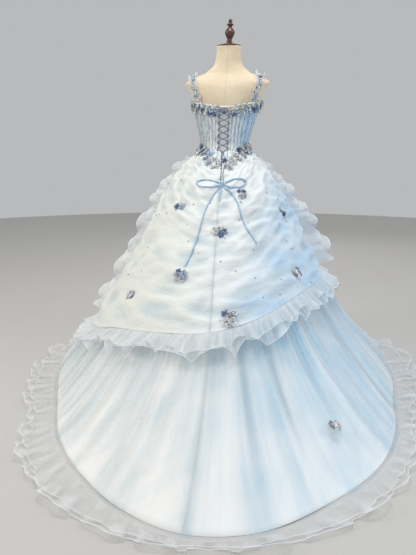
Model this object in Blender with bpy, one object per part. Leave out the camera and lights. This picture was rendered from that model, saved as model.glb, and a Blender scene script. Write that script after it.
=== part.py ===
"""A-line ball gown with a ruffled overskirt and a sweep train, standing on a limbless dress form.

Units are metres and +Z is up. The origin is the middle of the stand's underside, on the floor.
The gown's back faces -Y and +X is the wearer's right. An azimuth is measured round the Z axis
in degrees: 0 is the centre back, +90 the wearer's right side and 180 the centre front.
Each cloth piece is a thin closed wall, worked out from the tables of sizes below.
"""
import math
from collections import namedtuple

import bmesh
import bpy
from mathutils import Vector
from mathutils.bvhtree import BVHTree

# ---------------------------------------------------------------- driving dimensions
WAIST_Z = 1.130            # height of the gown's waist
LEAN = 0.043               # how far the form leans to +X, in metres for each metre above the waist
SEAM = 0.0003              # gap between two pieces that are sewn together
TOUCH = 0.0006             # gap between a small piece and the cloth that it lies on
LINING_WALL = 0.0015
TULLE_WALL = 0.0012
COVER_WALL = 0.0020        # the ruched overskirt
BODICE_WALL = 0.0025
MODESTY_WALL = 0.0012
CHANNEL_RISE = 0.0015      # how far a boning channel's piping stands out of the bodice

# dress form: each ring's height and its reach to the side, back and front
Section = namedtuple("Section", "z side back front")
FORM = [
    Section(0.800, 0.140, 0.098, 0.094),
    Section(0.850, 0.158, 0.112, 0.104),
    Section(0.920, 0.165, 0.118, 0.108),
    Section(0.990, 0.150, 0.104, 0.102),
    Section(1.050, 0.128, 0.090, 0.094),
    Section(1.100, 0.1115, 0.0815, 0.086),
    Section(1.135, 0.1105, 0.0806, 0.0860),
    Section(1.180, 0.1160, 0.0815, 0.0930),
    Section(1.240, 0.130, 0.086, 0.110),
    Section(1.290, 0.144, 0.092, 0.123),
    Section(1.340, 0.160, 0.096, 0.117),
    Section(1.385, 0.182, 0.094, 0.098),
    Section(1.412, 0.200, 0.084, 0.082),
    Section(1.432, 0.178, 0.072, 0.066),
    Section(1.448, 0.138, 0.062, 0.056),
    Section(1.466, 0.098, 0.056, 0.050),
    Section(1.490, 0.070, 0.052, 0.050),
    Section(1.530, 0.059, 0.052, 0.053),
    Section(1.574, 0.060, 0.055, 0.055),
]
FORM_COLUMNS = 20

# turned wooden cap and finial, as radius and height above the neck
Turning = namedtuple("Turning", "radius height")
CAP = [
    Turning(0.057, 0.000), Turning(0.057, 0.004), Turning(0.045, 0.010), Turning(0.028, 0.017),
    Turning(0.014, 0.026), Turning(0.012, 0.034), Turning(0.018, 0.046), Turning(0.023, 0.058),
    Turning(0.022, 0.068), Turning(0.012, 0.082), Turning(0.008, 0.088), Turning(0.015, 0.094),
    Turning(0.015, 0.099), Turning(0.007, 0.104), Turning(0.0095, 0.111), Turning(0.007, 0.119),
]
CAP_TIP = 0.123
CAP_COLUMNS = 12
BASE = [Turning(0.165, 0.000), Turning(0.165, 0.012), Turning(0.150, 0.022), Turning(0.030, 0.028)]
BASE_COLUMNS = 24
POLE_RADIUS = 0.014
POLE_COLUMNS = 16

# lining's outer face, a row for each ring from the waist to the hem
SkirtRing = namedtuple("SkirtRing", "row z side back front")
SKIRT = [
    SkirtRing(0, 1.105, 0.115, 0.088, 0.090),
    SkirtRing(1, 1.050, 0.156, 0.1305, 0.1252),
    SkirtRing(2, 0.980, 0.208, 0.185, 0.170),
    SkirtRing(3, 0.880, 0.272, 0.265, 0.230),
    SkirtRing(4, 0.760, 0.335, 0.345, 0.290),
    SkirtRing(5, 0.600, 0.420, 0.455, 0.365),
    SkirtRing(6, 0.430, 0.520, 0.580, 0.450),
    SkirtRing(7, 0.270, 0.625, 0.730, 0.535),
    SkirtRing(8, 0.130, 0.735, 0.950, 0.615),
    SkirtRing(9, 0.045, 0.800, 1.160, 0.665),
    SkirtRing(10, 0.0015, 0.830, 1.345, 0.720),
]
HEM_ROW = 10
SKIRT_ROWS = [0, 2, 4, 6, 7, 8, 9, 10]     # rings that the lining and the tulle are built on
REACH_START_Z = 0.50                       # below this height the rings take the hem's own outline

# reach of the lining's hem and of the tulle's hem on the floor, for each azimuth
Hem = namedtuple("Hem", "azimuth lining tulle")
HEM = [
    Hem(-180, 0.720, 0.750), Hem(-140, 0.740, 0.790), Hem(-110, 0.790, 0.890),
    Hem(-90, 0.825, 0.945), Hem(-70, 0.845, 0.975), Hem(-55, 0.875, 1.005), Hem(-45, 0.930, 1.060),
    Hem(-34, 1.025, 1.200), Hem(-20, 1.160, 1.325), Hem(-10, 1.268, 1.392), Hem(0, 1.345, 1.425),
    Hem(10, 1.330, 1.412), Hem(22, 1.225, 1.348), Hem(35, 1.122, 1.240), Hem(50, 0.990, 1.095),
    Hem(65, 0.885, 0.985), Hem(85, 0.852, 0.975), Hem(105, 0.830, 1.000), Hem(122, 0.790, 0.930),
    Hem(140, 0.750, 0.820),
]
LINING_GORES = ["back_left", "back_right", "side_right", "front_right", "front_left", "side_left"]
LINING_GORE_COLUMNS = 6
GORE_ANGLE = 60

# how far the outer faces of the tulle and of the overskirt stand off the lining, by ring
Layer = namedtuple("Layer", "row tulle cover")
LAYERS = [
    Layer(0, 0.0016, 0.0042), Layer(1, 0.0050, 0.0090), Layer(2, 0.0080, 0.0150),
    Layer(3, 0.0080, 0.0180), Layer(6, 0.0090, 0.0205), Layer(7, 0.0095, 0.0240),
    Layer(9, 0.0105, 0.0250), Layer(10, 0.0045, 0.0250),
]

# long folds of the tulle skirt: where each starts and how high its ridge is
Fold = namedtuple("Fold", "azimuth height")
FOLDS = [
    Fold(-180, 0.014), Fold(-162, 0.018), Fold(-142, 0.014),
    Fold(-121, 0.016), Fold(-101, 0.012), Fold(-86, 0.020), Fold(-72, 0.024),
    Fold(-60, 0.017), Fold(-49, 0.022), Fold(-38, 0.026), Fold(-27, 0.018),
    Fold(-17, 0.021), Fold(-8, 0.024), Fold(2, 0.016), Fold(11, 0.022),
    Fold(21, 0.026), Fold(33, 0.018), Fold(45, 0.024), Fold(57, 0.020),
    Fold(71, 0.016), Fold(86, 0.022), Fold(101, 0.014), Fold(119, 0.017),
    Fold(139, 0.013), Fold(160, 0.018),
]
FOLD_SHARES = [0.0, 0.38, 0.66]            # a fold's trough, and the two edges of its ridge
FOLDS_PER_GORE = [4, 4, 4, 4, 5, 4]
TULLE_GORES = ["front_left", "side_left", "back_left", "back_right", "side_right", "front_right"]
FoldRise = namedtuple("FoldRise", "row share")
FOLD_RISE = [FoldRise(5.9, 0.0), FoldRise(7, 0.14), FoldRise(8, 1.0), FoldRise(9, 0.9),
             FoldRise(10, 0.0)]
TULLE_EDGE_RUN = 0.015                     # the tulle reaches this far past the lining's hem

# gathered edge of the tulle on the floor
HEM_WAVES = 48
HEM_WAVE_SECTORS = 6
HEM_WAVE_HEIGHT = 0.024
HEM_WAVE_REACH = 0.014
WAVE_SHARES = [0.0, 0.36, 0.68]            # a wave's trough, and the two edges of its crest
HEM_RUFFLE_LINES = [0.0, 0.55, 1.0]
HEM_RUFFLE_GAP = 0.0022                    # from the tulle's edge to the gathered edge

# bodice's outer face between the channels
BODICE = [
    Section(1.105, 0.1197, 0.0927, 0.0947),
    Section(1.130, 0.1140, 0.0862, 0.0895),
    Section(1.160, 0.1185, 0.0875, 0.0945),
    Section(1.200, 0.1280, 0.0915, 0.1050),
    Section(1.240, 0.1390, 0.0960, 0.1190),
    Section(1.280, 0.1510, 0.1015, 0.1330),
    Section(1.320, 0.1630, 0.1080, 0.1350),
    Section(1.350, 0.1700, 0.1110, 0.1320),
]
Edge = namedtuple("Edge", "azimuth top bottom")
BODICE_EDGE = [
    Edge(0, 1.296, 1.014), Edge(14, 1.297, 1.020), Edge(32, 1.303, 1.052), Edge(55, 1.312, 1.083),
    Edge(90, 1.322, 1.094), Edge(125, 1.334, 1.085), Edge(155, 1.342, 1.050), Edge(180, 1.334, 1.022),
]
BODICE_LINES = [0.0, 0.13, 0.30, 0.50, 0.66, 0.80, 1.0]
Panel = namedtuple("Panel", "name start end channels")
BACK_SEAM = 62
SIDE_SEAM = 112
BODICE_PANELS = [
    Panel("bodice_back_right", 0, BACK_SEAM, 5),
    Panel("bodice_side_right", BACK_SEAM, SIDE_SEAM, 4),
    Panel("bodice_front", SIDE_SEAM, 360 - SIDE_SEAM, 11),
    Panel("bodice_side_left", -SIDE_SEAM, -BACK_SEAM, 4),
    Panel("bodice_back_left", -BACK_SEAM, 0, 5),
]
LACED_GAP = 0.021                          # half the gap that the lacing closes
CLOSED_Z = 1.092                           # below this height the two backs meet
BINDING_HEIGHT = 0.006
BINDING_WALL = 0.0032
BINDING_COLUMNS = 44
BINDING_SEAT = 0.0009

# flower trims along the bodice's top edge and along its pointed lower edge
TOP_FLOWERS = 7                            # on each half
BASQUE_FLOWERS = 6
TOP_TRIM_START = 16                        # azimuth where the trims begin, beside the lacing
BASQUE_TRIM_START = 8.5
FLOWER_SHARES = [0.0, 0.27, 0.5, 0.73]     # between two flowers, petal, middle, petal
FLOWER_RISE = [0.0035, 0.0070, 0.0110, 0.0070]
FLOWER_SPREAD = [0.30, 0.85, 1.0, 0.85]
TRIM_SEAT = 0.0021                         # under side of a trim above the bodice's face
TRIM_LINES = [-1.0, -0.35, 0.35, 1.0]
TRIM_DOME = [0.35, 1.0, 1.0, 0.35]
TOP_TRIM_HALF = 0.016
BASQUE_TRIM_HALF = 0.015

# overskirt: open in front, swept up towards the wearer's right
SIDE_EDGE = 100
CoverHem = namedtuple("CoverHem", "azimuth z")
COVER_HEM = [
    CoverHem(-100, 0.215), CoverHem(-80, 0.235), CoverHem(-62, 0.266), CoverHem(-46, 0.315),
    CoverHem(-30, 0.344), CoverHem(-18, 0.358), CoverHem(-4, 0.371), CoverHem(11, 0.399),
    CoverHem(23, 0.432), CoverHem(33, 0.461), CoverHem(44, 0.484), CoverHem(61, 0.502),
    CoverHem(100, 0.520),
]
COVER_COLUMNS = 18                         # in each half
COVER_LINES = 10
PUFF_BANDS = 4.5                           # ruched swags between the basque and the hem
PUFF_HEIGHT = 0.014
PUFF_SLANT = 0.9
FLOUNCE_WAVES = 13                         # in each half
FLOUNCE_LENGTH = 0.092
FLOUNCE_WAVE = 0.026
FLOUNCE_FLARE = 0.014
FLOUNCE_LINES = [0.0, 0.5, 1.0]
FLOUNCE_WALL = 0.0013

# ruffles down the overskirt's two open edges
Ruffle = namedtuple("Ruffle", "share left right")
RUFFLE_WIDTH = [
    Ruffle(0.0, 0.022, 0.022), Ruffle(0.25, 0.042, 0.036), Ruffle(0.5, 0.050, 0.060),
    Ruffle(0.75, 0.060, 0.100), Ruffle(1.0, 0.085, 0.090),
]
RUFFLE_WAVES = {"left": 8, "right": 7}
RUFFLE_STATIONS = 4                        # for each wave
RUFFLE_LINES = [0.0, 0.45, 1.0]
RUFFLE_SWING = 0.027
RUFFLE_ROOT = 0.0013                       # from the overskirt's edge to the ruffle's root
RUFFLE_TOP_ROW = 0.9

# shoulder straps: x of their middle line at the bodice and at the shoulder, and the least
# space over the shoulder's rounded edge
Strap = namedtuple("Strap", "name low high space")
STRAPS = [Strap("strap_left", -0.118, -0.150, 0.0026), Strap("strap_right", 0.140, 0.168, 0.0004)]
STRAP_HUB_Z = 1.365
STRAP_SWEEP = (-28, 181)
STRAP_STATIONS = 21
STRAP_WAVES = 7
STRAP_HALF_WIDTH = 0.016
STRAP_RISE = 0.011
STRAP_WALL = 0.0015
STRAP_SEAT = 0.0040

# lacing, bow and loose ends, as x and z on the overskirt's face
LACE_RADIUS = 0.0016
LACE_TOP_Z = 1.284
LACE_PITCH = 0.0285
LACE_CROSSINGS = 6
LACE_HALF_WIDTH = 0.0245
LACE_SEAT = 0.0030                         # the lace's middle line above the bodice's face
LACE_OVER = 0.0042                         # the upper strand at a crossing
BOW_RADIUS = 0.0032
KNOT = (0.010, 0.955)
KNOT_RADIUS = 0.0115
BOW_CORDS = {
    "bow_loop_left": [(-0.0036, 0.9600), (-0.040, 0.9710), (-0.085, 0.9710), (-0.107, 0.9580),
                      (-0.085, 0.9460), (-0.040, 0.9440), (-0.0036, 0.9510)],
    "bow_loop_right": [(0.0236, 0.9600), (0.055, 0.9750), (0.096, 0.9780), (0.116, 0.9620),
                       (0.096, 0.9450), (0.055, 0.9440), (0.0236, 0.9520)],
    "bow_tail_left": [(0.0015, 0.9430), (-0.027, 0.9040), (-0.050, 0.8580), (-0.064, 0.8140),
                      (-0.077, 0.7570), (-0.091, 0.7050), (-0.106, 0.6620), (-0.127, 0.6190)],
    "bow_tail_right": [(0.0220, 0.9440), (0.048, 0.9240), (0.073, 0.8960), (0.093, 0.8600),
                       (0.106, 0.8160), (0.126, 0.7780), (0.152, 0.7440), (0.175, 0.7130)],
    "bow_tail_short": [(0.0095, 0.9400), (0.007, 0.9100), (0.007, 0.8830)],
}

# flowers sewn to the skirts, as azimuth, height and radius
Blossom = namedtuple("Blossom", "name azimuth z radius")
COVER_BLOSSOMS = [
    Blossom("flower_bow", 22.6, 0.915, 0.020), Blossom("flower_upper_left", -34.3, 0.858, 0.020),
    Blossom("flower_upper_right", 60.9, 0.826, 0.019), Blossom("flower_middle", 2.3, 0.760, 0.026),
    Blossom("flower_tail", -17.0, 0.585, 0.024), Blossom("flower_right", 47.8, 0.574, 0.024),
    Blossom("flower_left", -44.5, 0.468, 0.022), Blossom("flower_hem", 7.2, 0.440, 0.030),
]
TULLE_BLOSSOMS = [Blossom("flower_train", 30.1, 0.120, 0.024)]
PETAL_POINTS = 10
BLOSSOM_RINGS = [(0.55, 0.0), (1.0, 0.0), (1.0, 0.0035), (0.60, 0.0070), (0.30, 0.0095)]
BLOSSOM_TOP = 0.0125
PETAL_DIP = 0.70
BLOSSOM_SEAT = 0.0016

# ---------------------------------------------------------------- finishes
FINISH = {
    "form": ((0.86, 0.75, 0.58, 1), 0.85, 0.0),
    "walnut": ((0.14, 0.05, 0.03, 1), 0.30, 0.0),
    "steel": ((0.10, 0.10, 0.11, 1), 0.40, 0.9),
    "satin": ((0.86, 0.89, 0.92, 1), 0.35, 0.0),
    "tulle": ((0.72, 0.83, 0.92, 1), 0.75, 0.0),
    "cover": ((0.84, 0.89, 0.90, 1), 0.70, 0.0),
    "bodice": ((0.66, 0.75, 0.83, 1), 0.45, 0.0),
    "trim": ((0.93, 0.93, 0.90, 1), 0.60, 0.0),
    "lace": ((0.30, 0.42, 0.55, 1), 0.40, 0.0),
    "bow": ((0.45, 0.62, 0.76, 1), 0.40, 0.0),
    "blossom": ((0.42, 0.52, 0.66, 1), 0.35, 0.2),
}


def finish(name):
    """The Principled material of one finish, made the first time it is asked for."""
    known = bpy.data.materials.get(name)
    if known:
        return known
    colour, roughness, metallic = FINISH[name]
    material = bpy.data.materials.new(name)
    material.use_nodes = True
    shader = material.node_tree.nodes["Principled BSDF"]
    shader.inputs["Base Color"].default_value = colour
    shader.inputs["Roughness"].default_value = roughness
    shader.inputs["Metallic"].default_value = metallic
    return material


# ---------------------------------------------------------------- reading the tables
def read_table(rows, column, at, period=0):
    """A column's value on a smooth curve through the rows, whose first column is the key."""
    points = [(row[0], getattr(row, column)) for row in rows]
    if period:
        before = [(key - period, value) for key, value in points[-2:]]
        after = [(key + period, value) for key, value in points[:2]]
        points = before + points + after
        at = (at - points[1][0]) % period + points[1][0]
    at = min(max(at, points[0][0]), points[-1][0])
    last = len(points) - 2
    index = next(i for i in range(last + 1) if at <= points[i + 1][0] or i == last)

    def slope(i):
        low, high = points[max(i - 1, 0)], points[min(i + 1, last + 1)]
        return (high[1] - low[1]) / (high[0] - low[0])

    (key_a, value_a), (key_b, value_b) = points[index], points[index + 1]
    width = key_b - key_a
    t = (at - key_a) / width
    return ((2 * t**3 - 3 * t**2 + 1) * value_a + (t**3 - 2 * t**2 + t) * width * slope(index)
            + (3 * t**2 - 2 * t**3) * value_b + (t**3 - t**2) * width * slope(index + 1))


def smooth_step(start, end, at):
    """0 before start and 1 after end, with a soft change between them."""
    t = min(max((at - start) / (end - start), 0.0), 1.0)
    return t * t * (3 - 2 * t)


def oval_reach(side, back, front, azimuth):
    """Distance from the axis to an oval with its own depth at the back and at the front."""
    sine = math.sin(math.radians(azimuth))
    cosine = math.cos(math.radians(azimuth))
    depth = back if cosine >= 0 else front
    return side * depth / math.hypot(depth * sine, side * cosine)


def place(azimuth, reach, z):
    """The point at an azimuth, a reach and a height, moved over as the form leans."""
    turn = math.radians(azimuth)
    lean = LEAN * max(z - WAIST_Z, 0.0)
    return Vector((reach * math.sin(turn) + lean, -reach * math.cos(turn), max(z, 0.0)))


# ---------------------------------------------------------------- the skirt's form
def hem_reach(azimuth, column):
    """Reach of the lining's or the tulle's hem on the floor."""
    return read_table(HEM, column, azimuth, 360)


def skirt_profile(azimuth, row):
    """Reach and height of the lining's outer face on a ring."""
    z = read_table(SKIRT, "z", row)
    sizes = [read_table(SKIRT, name, row) for name in ("side", "back", "front")]
    hem = SKIRT[HEM_ROW]
    share = smooth_step(REACH_START_Z, 0.0, z)
    stretch = hem_reach(azimuth, "lining") / oval_reach(hem.side, hem.back, hem.front, azimuth)
    return oval_reach(*sizes, azimuth) * (1 + (stretch - 1) * share), z


def skirt_point(azimuth, row, out, shift=0.0):
    """A point that stands out from the lining's face, and may be shifted along its ring."""
    reach, z = skirt_profile(azimuth, row)
    step = 0.05
    above_reach, above_z = skirt_profile(azimuth, max(row - step, 0))
    below_reach, below_z = skirt_profile(azimuth, min(row + step, HEM_ROW))
    run = below_reach - above_reach
    drop = above_z - below_z
    slant = math.hypot(run, drop)
    reach += out * drop / slant
    z += out * run / slant
    return place(azimuth + math.degrees(shift / reach), reach, z)


def skirt_row_at(z):
    """The ring, with its fraction, that lies at a height."""
    low, high = 0.0, float(HEM_ROW)
    for _ in range(30):
        middle = (low + high) / 2
        if read_table(SKIRT, "z", middle) > z:
            low = middle
        else:
            high = middle
    return (low + high) / 2


def layer_out(row, column):
    """How far a layer's outer face stands off the lining on a ring."""
    return read_table(LAYERS, column, row)


# ---------------------------------------------------------------- making meshes
def new_object(name, vertices, faces, finish_name):
    """A mesh object whose closed surface points outwards."""
    mesh = bpy.data.meshes.new(name)
    mesh.from_pydata([tuple(v) for v in vertices], [], faces)
    shell = bmesh.new()
    shell.from_mesh(mesh)
    if shell.calc_volume(signed=True) < 0:
        bmesh.ops.reverse_faces(shell, faces=shell.faces)
    shell.to_mesh(mesh)
    shell.free()
    mesh.shade_smooth()
    mesh.set_sharp_from_angle(angle=math.radians(50))
    mesh.materials.append(finish(finish_name))
    obj = bpy.data.objects.new(name, mesh)
    bpy.context.scene.collection.objects.link(obj)
    return obj


def wall(name, outer, inner, finish_name, ring=False):
    """A closed cloth wall between two grids of points, as rows from the top down."""
    rows, columns = len(outer), len(outer[0])
    vertices = [point for grid in (outer, inner) for line in grid for point in line]

    def corner(layer, row, column):
        return (layer * rows + row) * columns + column % columns

    faces = []

    def quad(a, b, c, d):
        faces.append((a, b, c))
        faces.append((a, c, d))

    spans = columns if ring else columns - 1
    for row in range(rows - 1):
        for column in range(spans):
            a, b = corner(0, row, column), corner(0, row + 1, column)
            c, d = corner(0, row + 1, column + 1), corner(0, row, column + 1)
            quad(a, b, c, d)
            e, f = corner(1, row, column), corner(1, row + 1, column)
            g, h = corner(1, row + 1, column + 1), corner(1, row, column + 1)
            quad(g, f, e, h)
    last = rows - 1
    for column in range(spans):
        quad(corner(0, 0, column), corner(0, 0, column + 1),
             corner(1, 0, column + 1), corner(1, 0, column))
        quad(corner(0, last, column + 1), corner(0, last, column),
             corner(1, last, column), corner(1, last, column + 1))
    if not ring:
        side = columns - 1
        for row in range(rows - 1):
            quad(corner(0, row + 1, 0), corner(0, row, 0), corner(1, row, 0), corner(1, row + 1, 0))
            quad(corner(0, row, side), corner(0, row + 1, side),
                 corner(1, row + 1, side), corner(1, row, side))
    return new_object(name, vertices, faces, finish_name)


def grid_normals(grid):
    """The surface's direction at each point of a grid."""
    rows, columns = len(grid), len(grid[0])
    normals = []
    for r in range(rows):
        line = []
        for c in range(columns):
            along = grid[r][min(c + 1, columns - 1)] - grid[r][max(c - 1, 0)]
            down = grid[min(r + 1, rows - 1)][c] - grid[max(r - 1, 0)][c]
            line.append(down.cross(along).normalized())
        normals.append(line)
    return normals


def thick_wall(name, grid, thickness, finish_name):
    """A cloth wall with half its thickness on each side of a grid."""
    half = thickness / 2
    normals = grid_normals(grid)
    outer = [[p + n * half for p, n in zip(*lines)] for lines in zip(grid, normals)]
    inner = [[p - n * half for p, n in zip(*lines)] for lines in zip(grid, normals)]
    return wall(name, outer, inner, finish_name)


def solid_of_rings(name, rings, finish_name, tip=None, foot=None):
    """A closed solid through rings of points, bottom ring first, with flat or given ends."""
    columns = len(rings[0])
    vertices = [point for ring in rings for point in ring]
    faces = []
    for level in range(len(rings) - 1):
        for column in range(columns):
            a = level * columns + column
            b = level * columns + (column + 1) % columns
            faces.append((a, b, b + columns))
            faces.append((a, b + columns, a + columns))
    middle_low = foot or sum(rings[0], Vector()) / columns
    middle_high = tip or sum(rings[-1], Vector()) / columns
    low, high = len(vertices), len(vertices) + 1
    vertices += [middle_low, middle_high]
    top = (len(rings) - 1) * columns
    for column in range(columns):
        following = (column + 1) % columns
        faces.append((low, following, column))
        faces.append((high, top + column, top + following))
    return new_object(name, vertices, faces, finish_name)


def turned_solid(name, turnings, floor_z, columns, finish_name, tip=None):
    """A solid of revolution round the form's axis."""
    rings = [[place(360 * c / columns, t.radius, floor_z + t.height) for c in range(columns)]
             for t in turnings]
    tip_point = place(0, 0.0, floor_z + tip) if tip else None
    return solid_of_rings(name, rings, finish_name, tip_point)


def smooth_route(points, parts):
    """Points on a smooth curve through a route, with a number of parts for each stretch."""
    route = [Vector(p) for p in points]
    fine = []
    for i in range(len(route) - 1):
        before = route[max(i - 1, 0)]
        start, end = route[i], route[i + 1]
        after = route[min(i + 2, len(route) - 1)]
        for step in range(parts):
            t = step / parts
            fine.append(0.5 * (2 * start + (end - before) * t
                               + (2 * before - 5 * start + 4 * end - after) * t**2
                               + (3 * start - before - 3 * end + after) * t**3))
    fine.append(route[-1])
    return fine


def cord(name, points, radius, finish_name):
    """A round cord along a route, as a curve with filled ends."""
    curve = bpy.data.curves.new(name, "CURVE")
    curve.dimensions = "3D"
    curve.bevel_depth = radius
    curve.bevel_resolution = 2
    curve.use_fill_caps = True
    spline = curve.splines.new("POLY")
    spline.points.add(len(points) - 1)
    for target, point in zip(spline.points, points):
        target.co = (*point, 1)
    curve.materials.append(finish(finish_name))
    obj = bpy.data.objects.new(name, curve)
    bpy.context.scene.collection.objects.link(obj)
    return obj


# ---------------------------------------------------------------- dress form and stand
def make_form():
    """The padded torso, the turned cap on its neck, the pole and the round base."""
    rings = [[place(360 * c / FORM_COLUMNS, oval_reach(s.side, s.back, s.front, 360 * c / FORM_COLUMNS),
                    s.z) for c in range(FORM_COLUMNS)] for s in FORM]
    torso = solid_of_rings("form_torso", rings, "form")
    neck_top = FORM[-1].z
    turned_solid("neck_cap", CAP, neck_top + SEAM, CAP_COLUMNS, "walnut", CAP_TIP)
    turned_solid("stand_base", BASE, 0.0, BASE_COLUMNS, "steel")
    pole = [Turning(POLE_RADIUS, BASE[-1].height + SEAM), Turning(POLE_RADIUS, FORM[0].z - SEAM)]
    turned_solid("stand_pole", pole, 0.0, POLE_COLUMNS, "steel")
    return torso


# ---------------------------------------------------------------- lining and tulle skirts
def make_lining():
    """The satin lining's six gores."""
    for number, place_name in enumerate(LINING_GORES):
        start = GORE_ANGLE * (number - 1)
        outer, inner = [], []
        for row in SKIRT_ROWS:
            outer_line, inner_line = [], []
            for c in range(LINING_GORE_COLUMNS + 1):
                azimuth = start + GORE_ANGLE * c / LINING_GORE_COLUMNS
                shift = seam_shift(c, LINING_GORE_COLUMNS)
                outer_line.append(skirt_point(azimuth, row, 0.0, shift))
                inner_line.append(skirt_point(azimuth, row, -LINING_WALL, shift))
            outer.append(outer_line)
            inner.append(inner_line)
        wall("lining_" + place_name, outer, inner, "satin")


def seam_shift(column, last):
    """Half a seam's gap, on the first and the last column of a piece."""
    return SEAM / 2 * ((column == 0) - (column == last))


def fold_columns():
    """The tulle's columns all round, as azimuth and ridge height, three for each fold."""
    columns = []
    for number, fold in enumerate(FOLDS):
        following = FOLDS[(number + 1) % len(FOLDS)].azimuth
        width = (following - fold.azimuth) % 360
        for share in FOLD_SHARES:
            columns.append((fold.azimuth + width * share, fold.height if share else 0.0))
    return columns


def make_tulle():
    """The tulle skirt's six gores, with their folds, and the edge that lies past the lining."""
    columns = fold_columns()
    first = 0
    gores = []
    for place_name, folds in zip(TULLE_GORES, FOLDS_PER_GORE):
        count = folds * len(FOLD_SHARES)
        gore = [columns[(first + c) % len(columns)] for c in range(count + 1)]
        outer, inner = [], []
        for row in SKIRT_ROWS:
            rise = read_table(FOLD_RISE, "share", row)
            outs = [layer_out(row, "tulle") + height * rise for _, height in gore]
            shifts = [seam_shift(c, count) for c in range(count + 1)]
            outer.append([skirt_point(a, row, out, s) for (a, _), out, s in zip(gore, outs, shifts)])
            inner.append([skirt_point(a, row, out - TULLE_WALL, s)
                          for (a, _), out, s in zip(gore, outs, shifts)])
        edge = [tulle_edge(a, s) for (a, _), s in zip(gore, shifts)]
        outer.append([point + Vector((0, 0, TULLE_WALL)) for point in edge])
        inner.append(edge)
        gores.append(wall("tulle_" + place_name, outer, inner, "tulle"))
        first += count
    return gores


def tulle_edge(azimuth, shift, past=0.0):
    """The floor point where the tulle's smooth part ends."""
    reach = hem_reach(azimuth, "lining") + TULLE_EDGE_RUN + past
    return place(azimuth + math.degrees(shift / reach), reach, 0.0)


def make_hem_ruffles():
    """The tulle's gathered edge, which stands in waves on the floor all round the gown."""
    waves = HEM_WAVES // HEM_WAVE_SECTORS
    wave_angle = 360 / HEM_WAVES
    shares = len(WAVE_SHARES)
    for sector in range(HEM_WAVE_SECTORS):
        outer, inner = [], []
        for line in HEM_RUFFLE_LINES:
            upper, lower = [], []
            for c in range(waves * shares + 1):
                wave, part = divmod(c, shares)
                azimuth = (sector * waves + wave + WAVE_SHARES[part]) * wave_angle
                crest = 1.0 if part else 0.0
                uneven = 1 + 0.3 * math.sin(azimuth * 0.21) * math.cos(azimuth * 0.083)
                start = hem_reach(azimuth, "lining") + TULLE_EDGE_RUN + HEM_RUFFLE_GAP
                end = hem_reach(azimuth, "tulle") + HEM_WAVE_REACH * (crest - 0.5)
                reach = start + (end - start) * line
                z = HEM_WAVE_HEIGHT * crest * line * uneven
                shift = seam_shift(c, waves * shares)
                turn = azimuth + math.degrees(shift / reach)
                lower.append(place(turn, reach, z))
                upper.append(place(turn, reach, z + TULLE_WALL))
            outer.append(upper)
            inner.append(lower)
        wall("hem_ruffle_%d" % (sector + 1), outer, inner, "tulle")


# ---------------------------------------------------------------- bodice
def bodice_face(azimuth, z, out):
    """A point off the bodice's outer face; below the waist seam it follows the skirt."""
    seam_z = BODICE[0].z
    if z < seam_z:
        row = skirt_row_at(z)
        return skirt_point(azimuth, row, layer_out(row, "cover") + SEAM + out)
    sizes = [read_table(BODICE, name, z) for name in ("side", "back", "front")]
    return place(azimuth, oval_reach(*sizes, azimuth) + out, z)


def bodice_edge(azimuth, column):
    """Height of the bodice's top or bottom edge."""
    folded = abs((azimuth + 180) % 360 - 180)
    return read_table(BODICE_EDGE, column, folded)


def bodice_lined(azimuth, line, out):
    """A point off the bodice's built face, which is straight between its lines."""
    line = min(max(line, -0.2), 1.2)
    index = next(i for i in range(len(BODICE_LINES) - 1)
                 if line <= BODICE_LINES[i + 1] or i == len(BODICE_LINES) - 2)
    low, high = BODICE_LINES[index], BODICE_LINES[index + 1]
    top, bottom = bodice_edge(azimuth, "top"), bodice_edge(azimuth, "bottom")
    start = bodice_face(azimuth, top + (bottom - top) * low, out)
    end = bodice_face(azimuth, top + (bottom - top) * high, out)
    return start.lerp(end, (line - low) / (high - low))


def laced_edge(z, reach):
    """Azimuth of the back panel's laced edge at a height."""
    half = SEAM / 2 + (LACED_GAP - SEAM / 2) * smooth_step(CLOSED_Z, CLOSED_Z + 0.028, z)
    return math.degrees(math.asin(half / reach))


def make_bodice():
    """The boned panels: a raised line of piping on each channel's edge, over a plain inside."""
    for panel in BODICE_PANELS:
        count = panel.channels * 2
        outer, inner = [], []
        for line in BODICE_LINES:
            outer_line, inner_line = [], []
            for c in range(count + 1):
                azimuth = panel.start + (panel.end - panel.start) * c / count
                top, bottom = bodice_edge(azimuth, "top"), bodice_edge(azimuth, "bottom")
                z = top + (bottom - top) * line
                face = bodice_face(azimuth, z, 0.0)
                reach = math.hypot(face.x - LEAN * max(z - WAIST_Z, 0), face.y)
                gap = math.degrees(SEAM / 2 / reach)
                start = laced_edge(z, reach) if panel.start == 0 else panel.start + gap
                end = -laced_edge(z, reach) if panel.end == 0 else panel.end - gap
                azimuth = start + (end - start) * c / count
                rise = CHANNEL_RISE if c % 2 == 0 else 0.0
                outer_line.append(bodice_face(azimuth, z, rise))
                inner_line.append(bodice_face(azimuth, z, -BODICE_WALL))
            outer.append(outer_line)
            inner.append(inner_line)
        wall(panel.name, outer, inner, "bodice")
    make_modesty_panel()
    make_binding()


def make_modesty_panel():
    """The strip of cloth behind the lacing."""
    top = bodice_edge(0, "top") - SEAM
    bottom = BODICE[0].z + 0.004
    lines = 5
    outer, inner = [], []
    for r in range(lines):
        z = top + (bottom - top) * r / (lines - 1)
        half = 0.034 - 0.006 * r / (lines - 1)
        turns = [math.degrees(half * share / 0.092) for share in (-1, -0.5, 0, 0.5, 1)]
        under = BODICE_WALL + 2 * SEAM + 0.0006
        outer.append([bodice_face(a, z, -under) for a in turns])
        inner.append([bodice_face(a, z, -under - MODESTY_WALL) for a in turns])
    wall("modesty_panel", outer, inner, "satin")


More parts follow.
